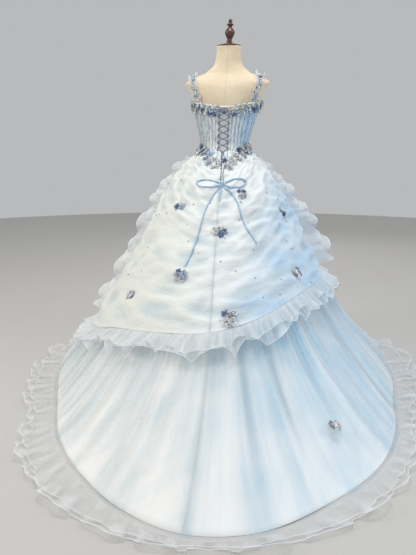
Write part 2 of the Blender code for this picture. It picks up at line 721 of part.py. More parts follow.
def make_binding():
    """The binding that stands on the bodice's top edge."""
    outer, inner = [], []
    for height in (BINDING_HEIGHT + BINDING_SEAT, BINDING_SEAT):
        turns = [360 * c / BINDING_COLUMNS for c in range(BINDING_COLUMNS)]
        faces = [(bodice_face(a, bodice_edge(a, "top"), 0.0006),
                  bodice_face(a, bodice_edge(a, "top"), 0.0006 - BINDING_WALL)) for a in turns]
        outer.append([face + Vector((0, 0, height)) for face, _ in faces])
        inner.append([face + Vector((0, 0, height)) for _, face in faces])
    wall("top_binding", outer, inner, "trim", ring=True)


def make_flower_trim(name, start, end, flowers, middle_line, half_height):
    """A strip of sewn flowers on the bodice: domed middles, petals and a scalloped outline."""
    shares = len(FLOWER_SHARES)
    count = flowers * shares
    outer, inner = [], []
    for place_on, dome in zip(TRIM_LINES, TRIM_DOME):
        upper, lower = [], []
        for c in range(count + 1):
            flower, part = divmod(c, shares)
            azimuth = start + (end - start) * (flower + FLOWER_SHARES[part]) / flowers
            azimuth += math.degrees(seam_shift(c, count) / 0.09)
            spread = half_height * FLOWER_SPREAD[part] * (1 if dome < 1 else 0.8)
            length = bodice_edge(azimuth, "top") - bodice_edge(azimuth, "bottom")
            line = (middle_line(length, half_height) + spread * place_on) / length
            lower.append(bodice_lined(azimuth, line, TRIM_SEAT))
            upper.append(bodice_lined(azimuth, line, TRIM_SEAT + 0.001 + FLOWER_RISE[part] * dome))
        outer.append(upper)
        inner.append(lower)
    wall(name, outer, inner, "trim")


def make_flower_trims():
    """The two strips on the top edge and the two on the pointed lower edge."""
    def near_top(length, half):
        return half * 0.62

    def near_bottom(length, half):
        return length - half * 0.72

    make_flower_trim("top_flowers_right", TOP_TRIM_START, 180, TOP_FLOWERS, near_top, TOP_TRIM_HALF)
    make_flower_trim("top_flowers_left", -180, -TOP_TRIM_START, TOP_FLOWERS, near_top, TOP_TRIM_HALF)
    make_flower_trim("basque_flowers_right", BASQUE_TRIM_START, 180, BASQUE_FLOWERS, near_bottom,
                     BASQUE_TRIM_HALF)
    make_flower_trim("basque_flowers_left", -180, -BASQUE_TRIM_START, BASQUE_FLOWERS, near_bottom,
                     BASQUE_TRIM_HALF)


# ---------------------------------------------------------------- overskirt
def cover_rows(azimuth):
    """The overskirt's first and last ring at an azimuth."""
    top = skirt_row_at(bodice_edge(azimuth, "bottom")) + 0.012
    return top, skirt_row_at(read_table(COVER_HEM, "z", azimuth))


def puff(azimuth, share):
    """Height of the ruched swags above the overskirt's plain form."""
    band = PUFF_BANDS * share + PUFF_SLANT * math.sin(math.radians(azimuth) * 1.7) \
        + 0.25 * math.sin(math.radians(azimuth) * 7)
    swell = 0.5 - 0.5 * math.cos(2 * math.pi * band)
    uneven = 0.75 + 0.25 * math.sin(math.radians(azimuth) * 5 + 9 * share)
    ends = smooth_step(0.0, 0.14, share) * smooth_step(1.0, 0.88, share)
    sides = smooth_step(0, 7, abs(azimuth)) * smooth_step(SIDE_EDGE, SIDE_EDGE - 14, abs(azimuth))
    return PUFF_HEIGHT * swell * uneven * ends * sides


def make_cover_half(name, start, end):
    """One half of the overskirt, from the basque to its swept hem."""
    outer, inner = [], []
    for r in range(COVER_LINES + 1):
        share = r / COVER_LINES
        upper, lower = [], []
        for c in range(COVER_COLUMNS + 1):
            azimuth = start + (end - start) * c / COVER_COLUMNS
            top, bottom = cover_rows(azimuth)
            row = top + (bottom - top) * share
            out = layer_out(row, "cover") + puff(azimuth, share)
            shift = seam_shift(c, COVER_COLUMNS)
            upper.append(skirt_point(azimuth, row, out, shift))
            lower.append(skirt_point(azimuth, row, out - COVER_WALL, shift))
        outer.append(upper)
        inner.append(lower)
    return wall(name, outer, inner, "cover")


def make_flounce_half(name, start, end):
    """Half of the gathered flounce that hangs from the overskirt's hem."""
    shares = len(WAVE_SHARES)
    count = FLOUNCE_WAVES * shares
    outer, inner = [], []
    for line in FLOUNCE_LINES:
        upper, lower = [], []
        for c in range(count + 1):
            wave, part = divmod(c, shares)
            azimuth = start + (end - start) * (wave + WAVE_SHARES[part]) / FLOUNCE_WAVES
            crest = 1.0 if part else 0.0
            uneven = 1 + 0.35 * math.sin(azimuth * 0.17)
            hem_z = skirt_profile(azimuth, cover_rows(azimuth)[1])[1]
            length = FLOUNCE_LENGTH * (1 + 0.12 * (crest - 0.5) + 0.1 * math.sin(azimuth * 0.11))
            fall = 0.82                    # height lost for each metre down the skirt's slope
            row = skirt_row_at(hem_z - 0.0008 - length * fall * line)
            out = layer_out(row, "cover") + (FLOUNCE_FLARE + FLOUNCE_WAVE * crest * uneven) * line
            shift = seam_shift(c, count)
            upper.append(skirt_point(azimuth, row, out, shift))
            lower.append(skirt_point(azimuth, row, out - FLOUNCE_WALL, shift))
        outer.append(upper)
        inner.append(lower)
    wall(name, outer, inner, "tulle")


def make_side_ruffle(side, direction):
    """The ruffle that stands out from one open edge of the overskirt."""
    azimuth = direction * SIDE_EDGE
    top, bottom = RUFFLE_TOP_ROW, cover_rows(azimuth)[1]
    stations = RUFFLE_WAVES[side] * RUFFLE_STATIONS
    grid = []
    for line in RUFFLE_LINES:
        points = []
        for s in range(stations + 1):
            share = s / stations
            row = top + (bottom - top) * share
            out = layer_out(row, "cover") - COVER_WALL / 2
            root = skirt_point(azimuth, row, out, direction * RUFFLE_ROOT)
            away = (skirt_point(azimuth, row, out + 0.01) - skirt_point(azimuth, row, out)).normalized()
            round_ = (skirt_point(azimuth, row, out, direction * 0.01)
                      - skirt_point(azimuth, row, out)).normalized()
            width = read_table(RUFFLE_WIDTH, side, share)
            wave = 2 * math.pi * s / RUFFLE_STATIONS
            swing = RUFFLE_SWING * width / 0.06 * math.sin(wave)
            slump = 0.25 * width * math.cos(wave)
            points.append(root + line * (away * (width + slump * 0.5) + round_ * (swing + width * 0.2)
                                         - Vector((0, 0, width * 0.3))))
        grid.append(points)
    thick_wall("side_ruffle_" + side, grid, FLOUNCE_WALL, "tulle")


def make_overskirt():
    """Both halves of the overskirt, its flounce and the ruffles on its open edges."""
    halves = [make_cover_half("overskirt_left", -SIDE_EDGE, 0), make_cover_half("overskirt_right", 0, SIDE_EDGE)]
    make_flounce_half("flounce_left", -SIDE_EDGE, 0)
    make_flounce_half("flounce_right", 0, SIDE_EDGE)
    make_side_ruffle("left", -1)
    make_side_ruffle("right", 1)
    return halves


# ---------------------------------------------------------------- laying small pieces on cloth
def surface_of(objects):
    """A tree of several objects' faces, for finding where a line meets them."""
    vertices, faces = [], []
    for obj in objects:
        first = len(vertices)
        vertices += [obj.matrix_world @ v.co for v in obj.data.vertices]
        faces += [[first + i for i in polygon.vertices] for polygon in obj.data.polygons]
    return BVHTree.FromPolygons(vertices, faces)


def meet(surface, start, direction):
    """Where a line from a point first meets a surface, and which way the surface faces there."""
    point, normal, _, _ = surface.ray_cast(start, direction.normalized())
    return point, normal


def on_back(surface, x, z, lift):
    """The point at x and z on the back of the gown, lifted off its face."""
    point, normal = meet(surface, Vector((x, -2.0, z)), Vector((0, 1, 0)))
    return point + normal * lift


def middles(points):
    """The points halfway along each stretch of a row of points."""
    return [(a + b) / 2 for a, b in zip(points, points[1:])]


def patch_samples(grid, steps):
    """Evenly spaced points on the faces of a grid of lines."""
    samples = []
    for low, high in zip(grid, grid[1:]):
        for i in range(steps + 1):
            line = [a.lerp(b, i / steps) for a, b in zip(low, high)]
            samples += [a.lerp(b, j / steps) for a, b in zip(line, line[1:]) for j in range(steps)]
            samples.append(line[-1])
    return samples


def slack(surface, points, thickness):
    """How far points can move towards a surface before the nearest of them touches it."""
    gaps = []
    for point in points:
        seat, normal, _, gap = surface.find_nearest(point)
        gaps.append(gap if (point - seat).dot(normal) > 0 else -gap)
    return min(gaps) - thickness - TOUCH


def lay_cord(surface, route, radius):
    """A cord's points, from a smooth curve through x and z points, on the back of the gown."""
    flat = smooth_route([(x, 0, z) for x, z in route], 2)
    points = [on_back(surface, p.x, p.z, radius + TOUCH) for p in flat]
    spare = slack(surface, points + middles(points), radius)
    return [on_back(surface, p.x, p.z, radius + TOUCH - spare) for p in flat]


def make_blossoms(surface, blossoms):
    """Five-petalled flowers that lie on a skirt."""
    for blossom in blossoms:
        start = place(blossom.azimuth, 2.0, blossom.z)
        inward = Vector((0, 0, blossom.z)) - start
        centre, normal = meet(surface, start, inward)
        across = Vector((0, 0, 1)).cross(normal).normalized()
        up = normal.cross(across)
        reach = 0.08
        rings = []
        for share, height in BLOSSOM_RINGS:
            ring = []
            for p in range(PETAL_POINTS):
                turn = 2 * math.pi * p / PETAL_POINTS
                petal = PETAL_DIP if p % 2 and share > BLOSSOM_RINGS[0][0] else 1.0
                arm = (across * math.cos(turn) + up * math.sin(turn)) * blossom.radius * share * petal
                seat, _ = meet(surface, centre + arm + normal * reach, -normal)
                ring.append(seat + normal * (BLOSSOM_SEAT + height))
            rings.append(ring)
        seat = [point for ring in rings[:2] for point in ring + middles(ring)]
        seat += [(a + b) / 2 for a, b in zip(*rings[:2])]
        lift = normal * -slack(surface, seat, 0.0)
        rings = [[point + lift for point in ring] for ring in rings]
        foot = centre + normal * BLOSSOM_SEAT + lift
        solid_of_rings(blossom.name, rings, "blossom", foot + normal * BLOSSOM_TOP, foot)


# ---------------------------------------------------------------- straps, lacing and bow
def strap_grid(torso_surface, strap, seat):
    """The middle surface of a strap, as four lines of points over the shoulder."""
    grid = []
    for side in (-1, -0.45, 0.45, 1):
        line = []
        for s in range(STRAP_STATIONS + 1):
            share = s / STRAP_STATIONS
            turn = math.radians(STRAP_SWEEP[0] + (STRAP_SWEEP[1] - STRAP_SWEEP[0]) * share)
            middle = strap.low + (strap.high - strap.low) * math.sin(math.pi * share)
            hub = Vector((middle + side * STRAP_HALF_WIDTH * 0.8, 0, STRAP_HUB_Z))
            direction = Vector((0, -math.cos(turn), math.sin(turn)))
            reach = max(form_reach(torso_surface, hub, turn + step) for step in (-0.09, 0, 0.09))
            crest = 0.5 - 0.5 * math.cos(2 * math.pi * STRAP_WAVES * share)
            rise = STRAP_RISE * (0.25 + crest if abs(side) == 1 else 0.12)
            ends = 0.009 * (1 - smooth_step(0.0, 0.16, min(share, 1 - share)))
            line.append(hub + direction * (reach + seat + rise + ends))
        grid.append(line)
    return grid


def make_straps(torso_surface):
    """The two gathered straps, from the bodice's back edge over the shoulder to its front."""
    for strap in STRAPS:
        samples = patch_samples(strap_grid(torso_surface, strap, STRAP_SEAT), 4)
        spare = slack(torso_surface, samples, STRAP_WALL / 2 + strap.space)
        thick_wall(strap.name, strap_grid(torso_surface, strap, STRAP_SEAT - spare), STRAP_WALL, "trim")


def form_reach(torso_surface, hub, turn):
    """Distance from a point inside the form to its surface, on a line square to X."""
    direction = Vector((0, -math.cos(turn), math.sin(turn)))
    seat, _ = meet(torso_surface, hub + direction * 0.3, -direction)
    return (seat - hub).length


def make_lacing(cover_surface):
    """Two strands that cross between the laced edges, then run down to the bow's knot."""
    for name, direction, over in (("lace_left", -1, 0.0), ("lace_right", 1, LACE_OVER)):
        route = []
        for k in range(LACE_CROSSINGS + 1):
            side = direction if k % 2 == 0 else -direction
            z = LACE_TOP_Z - LACE_PITCH * k
            route.append(lace_point(side * LACE_HALF_WIDTH, z, 0.0))
            if k < LACE_CROSSINGS:
                route.append(lace_point(0.0, z - LACE_PITCH / 2, over))
        drop = direction * (1 if LACE_CROSSINGS % 2 == 0 else -1) * 0.0052
        for z in (1.092, 1.062, 1.035):
            route.append(lace_point(drop + KNOT[0] * (1.1 - z) / 0.14, z, 0.0))
        for z in (1.002, 0.985, 0.9685):
            x = drop + KNOT[0] * (1.1 - z) / 0.14
            route.append(on_back(cover_surface, x, z, LACE_RADIUS + 2 * TOUCH))
        cord(name, route, LACE_RADIUS, "lace")


def lace_point(x, z, over):
    """A point of the lacing's middle line, off the bodice's back."""
    reach = (bodice_face(0, z, 0.0) - place(0, 0, z)).length
    azimuth = math.degrees(math.asin(x / reach))
    top, bottom = bodice_edge(azimuth, "top"), bodice_edge(azimuth, "bottom")
    return bodice_lined(azimuth, (top - z) / (top - bottom), LACE_SEAT + CHANNEL_RISE + over)


def make_bow(cover_surface):
    """The knot, its two loops and its loose ends, lying on the overskirt."""
    columns, levels = 8, 5
    centre = on_back(cover_surface, KNOT[0], KNOT[1], KNOT_RADIUS)
    rings = []
    for level in range(1, levels):
        tilt = math.pi * level / levels
        radius, height = KNOT_RADIUS * math.sin(tilt), -KNOT_RADIUS * math.cos(tilt)
        rings.append([centre + Vector((radius * math.cos(2 * math.pi * c / columns),
                                       0.7 * radius * math.sin(2 * math.pi * c / columns), height))
                      for c in range(columns)])
    top = centre + Vector((0, 0, KNOT_RADIUS))
    lift = Vector((0, slack(cover_surface, patch_samples(rings, 2), 0.0), 0))
    rings = [[point + lift for point in ring] for ring in rings]
    solid_of_rings("bow_knot", rings, "bow", top + lift)
    for name, route in BOW_CORDS.items():
        cord(name, lay_cord(cover_surface, route, BOW_RADIUS), BOW_RADIUS, "bow")


def main():
    """Clear the scene and build every piece."""
    for obj in list(bpy.data.objects):
        bpy.data.objects.remove(obj)
    torso = make_form()
    make_lining()
    gores = make_tulle()
    make_hem_ruffles()
    make_bodice()
    make_flower_trims()
    halves = make_overskirt()
    cover_surface = surface_of(halves)
    make_straps(surface_of([torso]))
    make_lacing(cover_surface)
    make_bow(cover_surface)
    make_blossoms(cover_surface, COVER_BLOSSOMS)
    make_blossoms(surface_of(gores), TULLE_BLOSSOMS)


main()
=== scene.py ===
"""Looks of an a-line prom dress with a laced bodice, a ruched overskirt and a tulle train.

The gown stands on a limbless dress form. Units are metres, +Z is up, the gown's back faces -Y and
+X is the wearer's right. An azimuth is measured round the Z axis in degrees: 0 is the centre back,
+90 the wearer's right side and 180 the centre front. Each cloth piece lies on its solid's form.
"""
import logging
import math
import sys
from dataclasses import dataclass, field
from enum import Enum
from functools import cache
from typing import Any, NamedTuple, Sequence

import bpy
import numpy as np
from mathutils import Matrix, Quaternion, Vector
from mathutils.bvhtree import BVHTree

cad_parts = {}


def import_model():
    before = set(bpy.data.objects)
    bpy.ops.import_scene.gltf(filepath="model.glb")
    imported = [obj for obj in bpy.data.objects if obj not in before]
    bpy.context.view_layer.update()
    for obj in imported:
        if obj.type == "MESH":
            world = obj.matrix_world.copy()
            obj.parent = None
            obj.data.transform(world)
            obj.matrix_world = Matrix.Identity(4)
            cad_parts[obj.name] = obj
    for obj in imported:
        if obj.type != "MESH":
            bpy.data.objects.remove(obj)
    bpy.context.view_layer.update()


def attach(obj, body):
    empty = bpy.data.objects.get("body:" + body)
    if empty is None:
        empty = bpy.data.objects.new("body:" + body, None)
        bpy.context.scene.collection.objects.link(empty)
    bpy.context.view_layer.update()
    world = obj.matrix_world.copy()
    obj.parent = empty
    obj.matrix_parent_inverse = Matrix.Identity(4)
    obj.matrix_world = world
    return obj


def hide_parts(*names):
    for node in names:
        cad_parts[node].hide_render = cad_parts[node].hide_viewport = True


LOG = logging.getLogger("gown")
BODY = "root"
HALF_SEAM = 0.00015
Grid = np.ndarray
Piece = bpy.types.Object
Colour = tuple[float, float, float, float]


# ---- tables and their reading
class Section(NamedTuple):
    """A level of the form or the bodice: its height and its reach to the side, back and front."""

    z: float
    side: float
    back: float
    front: float


class Ring(NamedTuple):
    """A level of the lining's outer face, from the waist down to the hem."""

    row: float
    z: float
    side: float
    back: float
    front: float


class Hem(NamedTuple):
    """Reach of the lining's hem and of the tulle's hem at an azimuth."""

    azimuth: float
    lining: float
    tulle: float


class Layer(NamedTuple):
    """How far the tulle and the overskirt stand off the lining on a ring."""

    row: float
    tulle: float
    cover: float


class Edge(NamedTuple):
    """Heights of the bodice's top and bottom edge at an azimuth."""

    azimuth: float
    top: float
    bottom: float


class Level(NamedTuple):
    """A value of a table with one column."""

    at: float
    value: float


def smooth_step(start: float, end: float, at: Any) -> Any:
    """0 before start and 1 after end, with a soft change between them."""
    t = np.clip((np.asarray(at, float) - start) / (end - start), 0.0, 1.0)
    return t * t * (3 - 2 * t)


def between(up: float, down: float, at: Any) -> Any:
    """0 at 0 and at 1, and 1 from up to down, with soft changes."""
    return smooth_step(0.0, up, at) * smooth_step(1.0, down, at)


def hump(at: Any, middle: float, width: float) -> Any:
    """A bell curve with a height of 1 at its middle."""
    return np.exp(-((at - middle) / width) ** 2)


def fold(wave: Any, top: tuple[float, float], sides: tuple[float, float], width: float) -> tuple[Any, Any]:
    """A fold over shares of a wave from 0 to 1: its height, and how steep its two sides are."""
    return between(*top, wave), hump(wave, sides[0], width) + hump(wave, sides[1], width)


def read_table(rows: Sequence[tuple], column: str, at: Any, period: float = 0.0) -> Any:
    """Read a column on a smooth curve through a table's rows, whose first column is the key.

    Args:
        rows: the table.
        column: the name of the column to read.
        at: the keys to read it at.
        period: the length of a turn, where the table goes all round.

    Returns:
        The values, in the shape of at.
    """
    keys = np.array([row[0] for row in rows], float)
    values = np.array([getattr(row, column) for row in rows], float)
    at = np.asarray(at, float)
    if period:
        keys = np.concatenate([keys[-2:] - period, keys, keys[:2] + period])
        values = np.concatenate([values[-2:], values, values[:2]])
        at = (at - keys[1]) % period + keys[1]
    at = np.clip(at, keys[0], keys[-1])
    low = np.clip(np.searchsorted(keys, at) - 1, 0, len(keys) - 2)
    before = np.maximum(np.arange(len(keys)) - 1, 0)
    after = np.minimum(np.arange(len(keys)) + 1, len(keys) - 1)
    slopes = (values[after] - values[before]) / (keys[after] - keys[before])
    width = keys[low + 1] - keys[low]
    t = (at - keys[low]) / width
    return ((2 * t**3 - 3 * t**2 + 1) * values[low] + (t**3 - 2 * t**2 + t) * width * slopes[low]
            + (3 * t**2 - 2 * t**3) * values[low + 1] + (t**3 - t**2) * width * slopes[low + 1])


@dataclass(frozen=True)
class Ripples:
    """Soft uneven waves over two directions, the same on each run."""

    seed: int
    across: tuple[float, float]
    down: tuple[float, float]
    waves: int = 7

    def at(self, azimuth: Grid, share: Grid) -> Grid:
        """Heights of about -1 to 1, at azimuths in degrees and at shares from 0 to 1."""
        rng = np.random.default_rng(self.seed)
        total = np.zeros(np.broadcast(azimuth, share).shape)
        for _ in range(self.waves):
            turns = round(rng.uniform(*self.across)) * rng.choice([-1, 1])
            drops = rng.uniform(*self.down)
            phase = rng.uniform(0, 2 * math.pi)
            total = total + np.sin(np.radians(azimuth) * turns + 2 * math.pi * share * drops + phase)
        return total / math.sqrt(self.waves * 1.6)


# ---- the gown's form
@dataclass(frozen=True)
class GownForm:
    """Where each layer of the gown lies, in the sizes that its solids are built on."""

    waist_z: float = 1.130
    lean: float = 0.043
    reach_start_z: float = 0.50
    skirt: tuple[Ring, ...] = (
        Ring(0, 1.105, 0.115, 0.088, 0.090), Ring(1, 1.050, 0.156, 0.1305, 0.1252),
        Ring(2, 0.980, 0.208, 0.185, 0.170), Ring(3, 0.880, 0.272, 0.265, 0.230),
        Ring(4, 0.760, 0.335, 0.345, 0.290), Ring(5, 0.600, 0.420, 0.455, 0.365),
        Ring(6, 0.430, 0.520, 0.580, 0.450), Ring(7, 0.270, 0.625, 0.730, 0.535),
        Ring(8, 0.130, 0.735, 0.950, 0.615), Ring(9, 0.045, 0.800, 1.160, 0.665),
        Ring(10, 0.0015, 0.830, 1.345, 0.720))
    hem: tuple[Hem, ...] = (
        Hem(-180, 0.720, 0.750), Hem(-140, 0.740, 0.790), Hem(-110, 0.790, 0.890),
        Hem(-90, 0.825, 0.945), Hem(-70, 0.845, 0.975), Hem(-55, 0.875, 1.005),
        Hem(-45, 0.930, 1.060), Hem(-34, 1.025, 1.200), Hem(-20, 1.160, 1.325),
        Hem(-10, 1.268, 1.392), Hem(0, 1.345, 1.425), Hem(10, 1.330, 1.412),
        Hem(22, 1.225, 1.348), Hem(35, 1.122, 1.240), Hem(50, 0.990, 1.095),
        Hem(65, 0.885, 0.985), Hem(85, 0.852, 0.975), Hem(105, 0.830, 1.000),
        Hem(122, 0.790, 0.930), Hem(140, 0.750, 0.820))
    layers: tuple[Layer, ...] = (
        Layer(0, 0.0016, 0.0042), Layer(1, 0.0050, 0.0090), Layer(2, 0.0080, 0.0150),
        Layer(3, 0.0080, 0.0180), Layer(6, 0.0090, 0.0205), Layer(7, 0.0095, 0.0240),
        Layer(9, 0.0105, 0.0250), Layer(10, 0.0045, 0.0250))
    bodice: tuple[Section, ...] = (
        Section(1.105, 0.1197, 0.0927, 0.0947), Section(1.130, 0.1140, 0.0862, 0.0895),
        Section(1.160, 0.1185, 0.0875, 0.0945), Section(1.200, 0.1280, 0.0915, 0.1050),
        Section(1.240, 0.1390, 0.0960, 0.1190), Section(1.280, 0.1510, 0.1015, 0.1330),
        Section(1.320, 0.1630, 0.1080, 0.1350), Section(1.350, 0.1700, 0.1110, 0.1320))
    edges: tuple[Edge, ...] = (
        Edge(0, 1.296, 1.014), Edge(14, 1.297, 1.020), Edge(32, 1.303, 1.052),
        Edge(55, 1.312, 1.083), Edge(90, 1.322, 1.094), Edge(125, 1.334, 1.085),
        Edge(155, 1.342, 1.050), Edge(180, 1.334, 1.022))
    cover_hem: tuple[Level, ...] = (
        Level(-100, 0.215), Level(-80, 0.235), Level(-62, 0.266), Level(-46, 0.315),
        Level(-30, 0.344), Level(-18, 0.358), Level(-4, 0.371), Level(11, 0.399),
        Level(23, 0.432), Level(33, 0.461), Level(44, 0.484), Level(61, 0.502), Level(100, 0.520))

    def place(self, azimuth: Any, reach: Any, z: Any) -> Grid:
        """Points at azimuths, reaches and heights, moved over as the form leans."""
        turn = np.radians(azimuth)
        lean = self.lean * np.maximum(np.asarray(z, float) - self.waist_z, 0.0)
        x, y, z = np.broadcast_arrays(reach * np.sin(turn) + lean, -reach * np.cos(turn), z)
        return np.stack([x, y, np.maximum(z, 0.0)], axis=-1)

    @staticmethod
    def oval(side: Any, back: Any, front: Any, azimuth: Any) -> Any:
        """Distance from the axis to an oval with its own depth at the back and at the front."""
        sine, cosine = np.sin(np.radians(azimuth)), np.cos(np.radians(azimuth))
        depth = np.where(cosine >= 0, back, front)
        return side * depth / np.hypot(depth * sine, side * cosine)

    def hem_reach(self, azimuth: Any, column: str) -> Any:
        """Reach of the lining's or the tulle's hem on the floor."""
        return read_table(self.hem, column, azimuth, 360)

    def profile(self, azimuth: Any, row: Any) -> tuple[Any, Any]:
        """Reach and height of the lining's outer face on a ring."""
        z = read_table(self.skirt, "z", row)
        side, back, front = (read_table(self.skirt, name, row) for name in ("side", "back", "front"))
        last = self.skirt[-1]
        stretch = self.hem_reach(azimuth, "lining") / self.oval(last.side, last.back, last.front, azimuth)
        share = smooth_step(self.reach_start_z, 0.0, z)
        return self.oval(side, back, front, azimuth) * (1 + (stretch - 1) * share), z

    def skirt_point(self, azimuth: Any, row: Any, out: Any, shift: Any = 0.0) -> Grid:
        """Points over the skirt.

        Args:
            azimuth: their azimuths.
            row: the rings that they lie on, with fractions.
            out: how far they stand off the lining's outer face.
            shift: how far they are moved along their ring.

        Returns:
            The points.
        """
        last, step = self.skirt[-1].row, 0.05
        reach, z = self.profile(azimuth, row)
        above_reach, above_z = self.profile(azimuth, np.maximum(row - step, 0))
        below_reach, below_z = self.profile(azimuth, np.minimum(row + step, last))
        run, drop = below_reach - above_reach, above_z - below_z
        slant = np.hypot(run, drop)
        reach = reach + out * drop / slant
        return self.place(azimuth + np.degrees(shift / reach), reach, z + out * run / slant)

    def row_at(self, z: Any) -> Any:
        """The ring, with its fraction, that lies at a height."""
        rows = np.linspace(0, self.skirt[-1].row, 2001)
        return np.interp(-np.asarray(z, float), -read_table(self.skirt, "z", rows), rows)

    def layer(self, row: Any, column: str) -> Any:
        """How far a layer's outer face stands off the lining on a ring."""
        return read_table(self.layers, column, row)

    def bodice_edge(self, azimuth: Any, column: str) -> Any:
        """Height of the bodice's top or bottom edge."""
        return read_table(self.edges, column, np.abs((np.asarray(azimuth, float) + 180) % 360 - 180))

    def bodice_point(self, azimuth: Any, z: Any, out: Any) -> Grid:
        """Points over the bodice, which follows the skirt below the waist seam.

        Args:
            azimuth: their azimuths.
            z: their heights.
            out: how far they stand off the bodice's outer face.

        Returns:
            The points.
        """
        azimuth, z, out = np.broadcast_arrays(azimuth, z, out)
        row = self.row_at(z)
        low = self.skirt_point(azimuth, row, self.layer(row, "cover") + 0.0003 + out)
        side, back, front = (read_table(self.bodice, name, z) for name in ("side", "back", "front"))
        high = self.place(azimuth, self.oval(side, back, front, azimuth) + out, z)
        return np.where((z < self.bodice[0].z)[..., None], low, high)

    def cover_rows(self, azimuth: Any) -> tuple[Any, Any]:
        """The overskirt's first and last ring at an azimuth."""
        top = self.row_at(self.bodice_edge(azimuth, "bottom")) + 0.012
        return top, self.row_at(read_table(self.cover_hem, "value", azimuth))


FORM = GownForm()


# ---- making meshes
def seam_shift(columns: int) -> Grid:
    """How far each column of a gore is moved along its ring, to leave a seam open at both ends."""
    shift = np.zeros((1, columns))
    shift[0, 0], shift[0, -1] = HALF_SEAM, -HALF_SEAM
    return shift


def unit(vectors: Grid) -> Grid:
    """Vectors at length 1."""
    return vectors / np.maximum(np.linalg.norm(vectors, axis=-1, keepdims=True), 1e-12)


def grid_normals(grid: Grid) -> Grid:
    """The surface's outward direction at each point of a grid, whose rows run from the top down."""
    return unit(np.cross(np.gradient(grid, axis=0), np.gradient(grid, axis=1)))


def lengths(grid: Grid, axis: int) -> Grid:
    """Distance along a grid's rows or columns, up to each point."""
    steps = np.linalg.norm(np.diff(grid, axis=axis), axis=-1)
    pad = [(0, 0), (0, 0)]
    pad[axis] = (1, 0)
    return np.pad(np.cumsum(steps, axis=axis), pad)


def grid_faces(rows: int, columns: int, ring: bool = False, first: int = 0) -> Grid:
    """Corners of the quads between a grid's points, facing outwards."""
    spans = columns if ring else columns - 1
    row, column = np.meshgrid(np.arange(rows - 1), np.arange(spans), indexing="ij")
    following = (column + 1) % columns
    corners = [row * columns + column, (row + 1) * columns + column,
               (row + 1) * columns + following, row * columns + following]
    return first + np.stack(corners, axis=-1).reshape(-1, 4)


def loop_faces(rows: int, columns: int) -> Grid:
    """Corners of the quads on a grid that closes both ways."""
    return grid_faces(rows + 1, columns, ring=True) % (rows * columns)


def new_mesh(name: str, points: Grid, faces: Sequence[Sequence[int]], uv: Grid | None = None,
             marks: dict[str, Grid] | None = None) -> bpy.types.Mesh:
    """Make a smooth mesh.

    Args:
        name: the mesh's name.
        points: one place for each vertex.
        faces: the corners of each face.
        uv: one pair for each vertex.
        marks: numbers for each vertex, which its finish reads by name.

    Returns:
        The mesh.
    """
    mesh = bpy.data.meshes.new(name)
    mesh.from_pydata(points.reshape(-1, 3).tolist(), [], [list(map(int, face)) for face in faces])
    if uv is not None:
        corners = np.empty(len(mesh.loops), np.int32)
        mesh.loops.foreach_get("vertex_index", corners)
        layer = mesh.uv_layers.new(name="cloth")
        layer.data.foreach_set("uv", uv.reshape(-1, 2)[corners].astype(np.float32).ravel())
    for mark, values in (marks or {}).items():
        mark_points(mesh, mark, values)
    mesh.shade_smooth()
    return mesh


def mark_points(mesh: bpy.types.Mesh, mark: str, values: Grid) -> None:
    """Give each of a mesh's points a number, or a direction where there are three for each."""
    many = np.size(values) == 3 * len(mesh.vertices)
    store = mesh.attributes.new(mark, "FLOAT_VECTOR" if many else "FLOAT", "POINT")
    store.data.foreach_set("vector" if many else "value", np.ascontiguousarray(values, np.float32).ravel())


def line_mesh(name: str, routes: Sequence[Grid]) -> bpy.types.Mesh:
    """Make a mesh of open lines, one through the points of each route."""
    edges, first = [], 0
    for route in routes:
        edges += [(first + i, first + i + 1) for i in range(len(route) - 1)]
        first += len(route)
    mesh = bpy.data.meshes.new(name)
    mesh.from_pydata(np.concatenate(routes).tolist(), edges, [])
    return mesh


def show(thing: Piece) -> Piece:
    """Put an object into the scene."""
    bpy.context.scene.collection.objects.link(thing)
    return thing


def new_piece(name: str, mesh: bpy.types.Mesh, finish: "Finish") -> Piece:
    """Put a mesh with its finish into the scene."""
    mesh.materials.append(dress_in(finish))
    return show(bpy.data.objects.new(name, mesh))


def cloth_uv(grid: Grid) -> Grid:
    """A grid's UV map in metres: along the width, and down the length."""
    return np.stack([lengths(grid, 1), lengths(grid, 0)], axis=-1)


def sheer_sheet(name: str, grid: Grid, finish: "Finish", marks: dict[str, Grid]) -> Piece:
    """A net or organza sheet, a single skin through a grid of points."""
    faces = grid_faces(*grid.shape[:2])
    return new_piece(name, new_mesh(name, grid, faces, cloth_uv(grid), marks), finish)


def cloth_wall(name: str, grid: Grid, thickness: float, finish: "Finish",
               marks: dict[str, Grid]) -> Piece:
    """A closed cloth wall, whose outer face is a grid of points and whose edges are turned.

    Args:
        name: the piece's name.
        grid: the outer face, rows from the top down.
        thickness: how thick the wall is, inwards.
        finish: its finish.
        marks: numbers for each point of the grid.

    Returns:
        The piece.
    """
    rows, columns = grid.shape[:2]
    count = rows * columns
    outside = grid_faces(rows, columns)
    index = np.arange(count).reshape(rows, columns)
    edge = np.concatenate([index[0, :-1], index[:-1, -1], index[-1, :0:-1], index[:0:-1, 0]])
    following = np.roll(edge, -1)
    turned = np.stack([edge, edge + count, following + count, following], axis=-1)
    faces = np.concatenate([outside, outside[:, ::-1] + count, turned])
    points = np.stack([grid, grid - grid_normals(grid) * thickness])
    uv = np.stack([cloth_uv(grid)] * 2)
    both = {mark: np.stack([values] * 2) for mark, values in marks.items()}
    return new_piece(name, new_mesh(name, points, faces, uv, both), finish)


